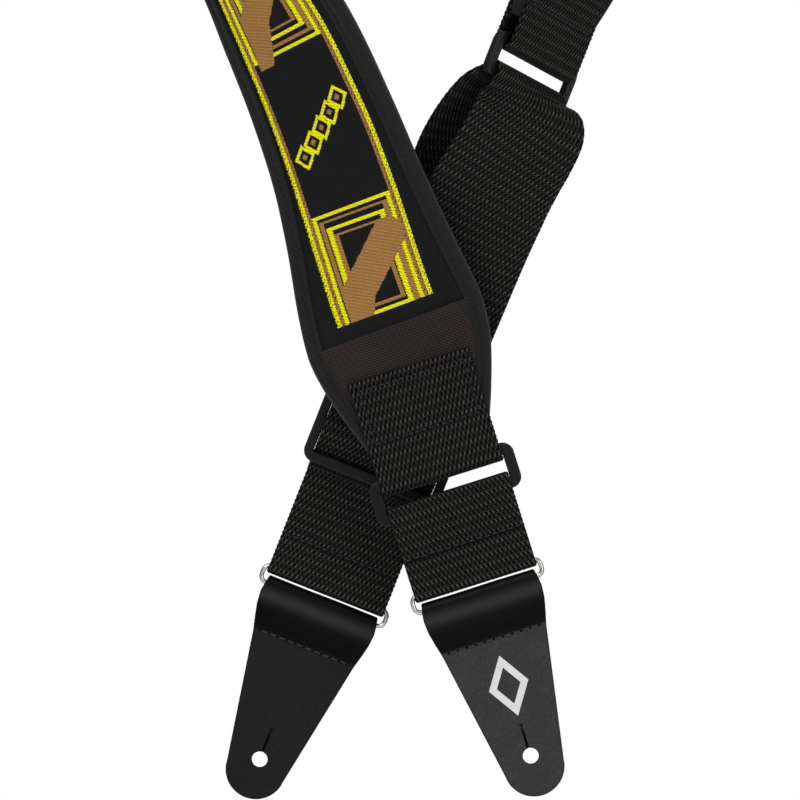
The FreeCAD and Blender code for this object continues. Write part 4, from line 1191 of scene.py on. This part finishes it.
# strap that the slider uncovers as it moves up; at rest it lies inside the front run
under_line = trace((FRONT_Y, SLIDER_EXIT), (FRONT_Y, SLIDER_EXIT + TRAVEL))
hook(webbing("adjuster_under_strap", *AT_SLIDER.lay(under_line), 24.6,
             press=lambda across, along: 0.10 + 0 * across), "adjuster_loop", "webbing")

adjuster = webbing("adjuster_strap", *adjuster_path(), 25.27, coarse=True, ribs=0.08)
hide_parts("adjuster_webbing")
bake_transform(adjuster)

# anchor stitches behind the slider's upper bar
hook(seam("anchor_rowstitch", AT_SLIDER, np.linspace(-22.5, 22.5, 15), 20.0, (BACK_Y + 1.25,),
          length=2.4, radius=0.36, mat=M_THREAD), "slider", "thread")

# ---------------------------------------------------------------- leather ends
# (distance down from the bend's top, half width)
LEATHER_OUTLINE = np.array([(0, 23.3), (3.5, 24.15), (7, 24.6), (12, 24.2), (17, 23.1),
                            (22.8, 21.6), (76.4, 12.0)])
LEATHER_T, LEATHER_LEN, TIP_R = 2.2, 87.0, 12.2
TIP_CENTRE = LEATHER_LEN - TIP_R
BEND_IN = 1.1                             # inner radius of the bend
BEND_TOP = BEND_IN + LEATHER_T
FLAP_LEN = 28.0                           # short layer behind
TIP_ROWS = 34
HOLE_Z, HOLE_R = BEND_TOP - 70.6, 3.2


def leather_half(down):
    width = np.interp(down, LEATHER_OUTLINE[:, 0], LEATHER_OUTLINE[:, 1])
    circle = np.sqrt(np.clip(TIP_R**2 - np.clip(down - TIP_CENTRE, 0, TIP_R) ** 2, 0, None))
    return np.where(down > TIP_CENTRE, np.minimum(width, circle), width)


def leather_line():
    """(y, z) line up the rear flap, over and down the front, and the flap's row count."""
    half_t = LEATHER_T / 2
    radius = BEND_IN + half_t
    inner_z = BEND_TOP - SEAM_DOWN + 5.0
    start = (math.degrees(math.atan2(inner_z, half_t))
             + math.degrees(math.acos(radius / math.hypot(half_t, inner_z))))
    circle = arc(0, 0, radius, start, 180 - start, 40)
    # rows draw closer near the tip
    quarter = np.linspace(0, math.pi / 2, TIP_ROWS)
    tip_z = BEND_TOP - LEATHER_LEN + TIP_R * (1 - np.cos(quarter))[::-1]
    tip = np.stack([np.full(TIP_ROWS, -half_t), tip_z], 1)
    bend = trace((half_t, BEND_TOP - FLAP_LEN), (half_t, inner_z), circle, step=0.6)
    line = trace(bend, (-half_t, inner_z), tip, step=0.6)
    for _ in range(10):                   # soften the bend
        line[1:-36] = 0.5 * line[1:-36] + 0.25 * (line[:-37] + line[2:-35])
    return line, len(bend) - len(circle) + 9


def leather_body(name, place, mats):
    line, flap_rows = leather_line()
    points, across = place.lay(line)
    normals = np.cross(across, unit(np.gradient(points, axis=0)))
    quarter = np.linspace(0, math.pi / 2, 14)
    share = np.concatenate([-np.cos(quarter)[:-1] * 0.12 - 0.88, np.linspace(-0.88, 0.88, 75),
                            0.88 + 0.12 * np.sin(quarter)[1:]])
    down = BEND_TOP - line[:, 1]
    half = np.maximum(leather_half(down), 0.02)[:, None]
    x = half * share
    s = np.repeat(down[:, None], len(share), 1)
    # distance in from the outline, for the rounded edges
    side_in = half - np.abs(x)
    tip_in = TIP_R - np.hypot(x, s - TIP_CENTRE)
    inward = np.where(s > TIP_CENTRE, np.minimum(tip_in, side_in), side_in * 0.985)
    inward = np.maximum(inward, 0)
    bevel = 0.75
    thick = LEATHER_T / 2 - bevel + np.sqrt(
        np.clip(bevel**2 - (bevel - np.minimum(inward, bevel)) ** 2, 0, None))
    # skived end of the flap
    is_flap = (np.arange(len(line)) < flap_rows)[:, None]
    thick = thick * np.where(is_flap, np.clip((FLAP_LEN - s) / 2.0, 0.25, 1), 1.0)
    # outer face: seam crease, needle holes, soft puff above the seam, lowered slit edge
    crease = 0.30 * bell(s - SEAM_DOWN, 0.9) * (np.abs(x) < 20.6)
    holes = sum(0.42 * np.exp(-(((x - hole) / 0.42) ** 2 + ((s - SEAM_DOWN) / 0.42) ** 2))
                for hole in SEAM_HOLES)
    puff = 0.40 * bell(s - 10.0, 4.6) * np.cos(np.clip(share, -1, 1) * math.pi / 2) ** 0.6
    uneven = 0.07 * np.sin(x / 5.1 + s / 9.0) * np.sin(s / 6.3 + 1.0)
    lip = (0.34 * (x > 0.1) * decay(x, 3.2, limit=30)
           * ease((s - 57.2) / 2.0) * ease((70.0 - s) / 3.0))
    outer = thick - crease - holes + puff + uneven - lip
    middle = points[:, None] + across[:, None] * x[..., None]
    verts = [(middle + normals[:, None] * height[..., None]).reshape(-1, 3)
             for height in (thick, -outer)]
    # glossy part above the seam, which the material paints near black as shade
    gloss_and_painted_shade = ease((SEAM_DOWN - 0.1 - s) / 0.8).ravel()
    attrs = {"wuv": np.concatenate([cloth_uv(x, s + 40, 1.0), cloth_uv(x, s, -1.0)]),
             "gloss_and_painted_shade": np.concatenate([0 * gloss_and_painted_shade, gloss_and_painted_shade]),
             "edge": np.tile(np.clip(1 - inward / 0.9, 0, 1).ravel(), 2)}
    return mesh(name, np.concatenate(verts), slab_faces(*x.shape), mats, attrs=attrs)


def cutter(place, mats, front_y, front, back_y, back):
    """Closed prism between two (x, z) outlines of equal length."""
    verts = [place(x, y, z) for y, outline in ((front_y, front), (back_y, back))
             for x, z in outline]
    count = len(front)
    i = np.arange(count)
    after = (i + 1) % count
    faces = [np.stack([i, after, after + count, i + count], 1), i[None, ::-1],
             (i + count)[None, :]]
    obj = mesh("cutter", verts, faces, mats, smooth_shade=False, mat_index=np.full(count + 2, 1))
    bm = bmesh.new()
    bm.from_mesh(obj.data)
    bmesh.ops.recalc_face_normals(bm, faces=bm.faces)
    bm.to_mesh(obj.data)
    bm.free()
    return obj


def slit(half):
    """Outline above the button hole, narrowing upwards."""
    up = [(half, 2.6), (half * 0.8, 9.0), (half * 0.3, 13.3)]
    return [(-x, HOLE_Z + z) for x, z in up] + [(x, HOLE_Z + z) for x, z in up[::-1]]


def build_leather(name, place, mats):
    obj = leather_body(name, place, mats)
    ring = [(HOLE_R * math.sin(a), HOLE_Z + HOLE_R * math.cos(a))
            for a in np.linspace(0, 2 * math.pi, 65)[:-1]]
    notch = [(x, HOLE_Z + z) for x, z in ((-0.9, 12.7), (-0.9, 13.1), (0.9, 13.1), (0.9, 12.7))]
    # button hole, slit from the front and from the back, notch at the slit's top
    prisms = [(-LEATHER_T - 2, ring, 0.9, ring),
              (-LEATHER_T - 0.6, slit(1.0), -LEATHER_T + 1.3, slit(0.03)),
              (-LEATHER_T * 0.28, slit(0.02), 0.4, slit(0.4)),
              (-LEATHER_T - 0.6, notch, -LEATHER_T + 0.55, notch)]
    cutters = [cutter(place, mats, *prism) for prism in prisms]
    for cut in cutters:
        modifier = obj.modifiers.new("cut", "BOOLEAN")
        modifier.object = cut
        modifier.operation = "DIFFERENCE"
        modifier.solver = "EXACT"
    graph = bpy.context.evaluated_depsgraph_get()
    data = bpy.data.meshes.new_from_object(obj.evaluated_get(graph), depsgraph=graph,
                                           preserve_all_data_layers=True)
    obj.modifiers.clear()
    obj.data = data
    for cut in cutters:
        bpy.data.objects.remove(cut)
    return obj


for name, place, mat in (("front_leather", AT_FRONT_LEATHER, M_LEATHER_FRONT_LIT),
                         ("rear_leather", AT_REAR_LEATHER, M_LEATHER_REAR_SHADED)):
    hook(build_leather(name, place, [mat, M_CUT_SHADE]), name, "leather", name + "_end")
    hook(seam(name + "_rowstitch", place, (SEAM_HOLES[:-1] + SEAM_HOLES[1:]) / 2,
              BEND_TOP - SEAM_DOWN, (-LEATHER_T + 0.02, LEATHER_T - 0.05),
              length=2.6, radius=0.34, mat=M_THREAD_LEATHER),
         name, "thread", name + "_stitching")

# ---------------------------------------------------------------- CAD pieces kept
for node, mat in (("front_ring", M_HARDWARE), ("rear_ring", M_HARDWARE),
                  ("slider_buckle", M_HARDWARE), ("front_wire_ring", M_WIRE),
                  ("rear_wire_ring", M_WIRE), ("front_leather_emblem", M_FOIL)):
    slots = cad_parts[node].data.materials
    slots.clear()
    slots.append(mat)


# ---------------------------------------------------------------- stage, light, camera (metres)
def floor_material():
    """Near-white matt floor with a faint glow."""
    m = Shader("floor_white")
    base = m.ramp(m.noise(m.obj(), scale=3.0, detail=2), (0.0, (0.891, 0.891, 0.891, 1)),
                  (1.0, (0.9, 0.9, 0.9, 1)))
    return m.finish(Base_Color=base, Roughness=0.9, Specular_IOR_Level=0.0,
                    Emission_Color=WHITE, Emission_Strength=0.25)


def build_world(light_strength, seen_strength):
    """White world: dim as a light, full white to the camera."""
    world = bpy.data.worlds.new("studio")
    world.use_nodes = True
    nodes, links = world.node_tree.nodes, world.node_tree.links
    light = nodes["Background"]
    seen = nodes.new("ShaderNodeBackground")
    for background, strength in ((light, light_strength), (seen, seen_strength)):
        background.inputs["Color"].default_value = WHITE
        background.inputs["Strength"].default_value = strength
    mix = nodes.new("ShaderNodeMixShader")
    links.new(nodes.new("ShaderNodeLightPath").outputs["Is Camera Ray"], mix.inputs[0])
    links.new(light.outputs[0], mix.inputs[1])
    links.new(seen.outputs[0], mix.inputs[2])
    links.new(mix.outputs[0], nodes["World Output"].inputs["Surface"])
    bpy.context.scene.world = world


def area_light(name, location, width, height, power):
    data = bpy.data.lights.new(name, "AREA")
    data.energy = power
    data.shape = "RECTANGLE"
    data.size = width
    data.size_y = height
    obj = bpy.data.objects.new(name, data)
    bpy.context.scene.collection.objects.link(obj)
    obj.location = location
    aim = np.array((0, 0, -0.3)) - np.array(location)
    obj.rotation_euler = Vector(aim).to_track_quat("-Z", "Y").to_euler()


def build_camera(distance, view_width):
    data = bpy.data.cameras.new("camera")
    obj = bpy.data.objects.new("camera", data)
    bpy.context.scene.collection.objects.link(obj)
    data.sensor_width = 36
    data.lens = data.sensor_width * distance / view_width
    obj.location = (-0.003, -distance, -0.3314)
    obj.rotation_euler = (math.radians(90), 0, 0)
    bpy.context.scene.camera = obj


bpy.ops.mesh.primitive_plane_add(size=8, location=(0, 0, -0.95))
floor = bpy.context.object
floor.name = "studio_floor"
floor.data.materials.append(floor_material())

build_world(light_strength=0.30, seen_strength=1.0)
area_light("key", (-0.55, -0.95, 0.50), width=0.45, height=0.6, power=5.5)
area_light("fill", (0.9, -0.9, -0.1), width=0.6, height=0.9, power=2.6)
area_light("top", (0.1, -0.25, 0.9), width=0.7, height=0.7, power=3.0)
area_light("back", (0.3, 0.9, 0.3), width=0.7, height=0.7, power=2.0)
build_camera(distance=1.6, view_width=0.320)
bpy.context.scene.view_settings.view_transform = "Standard"
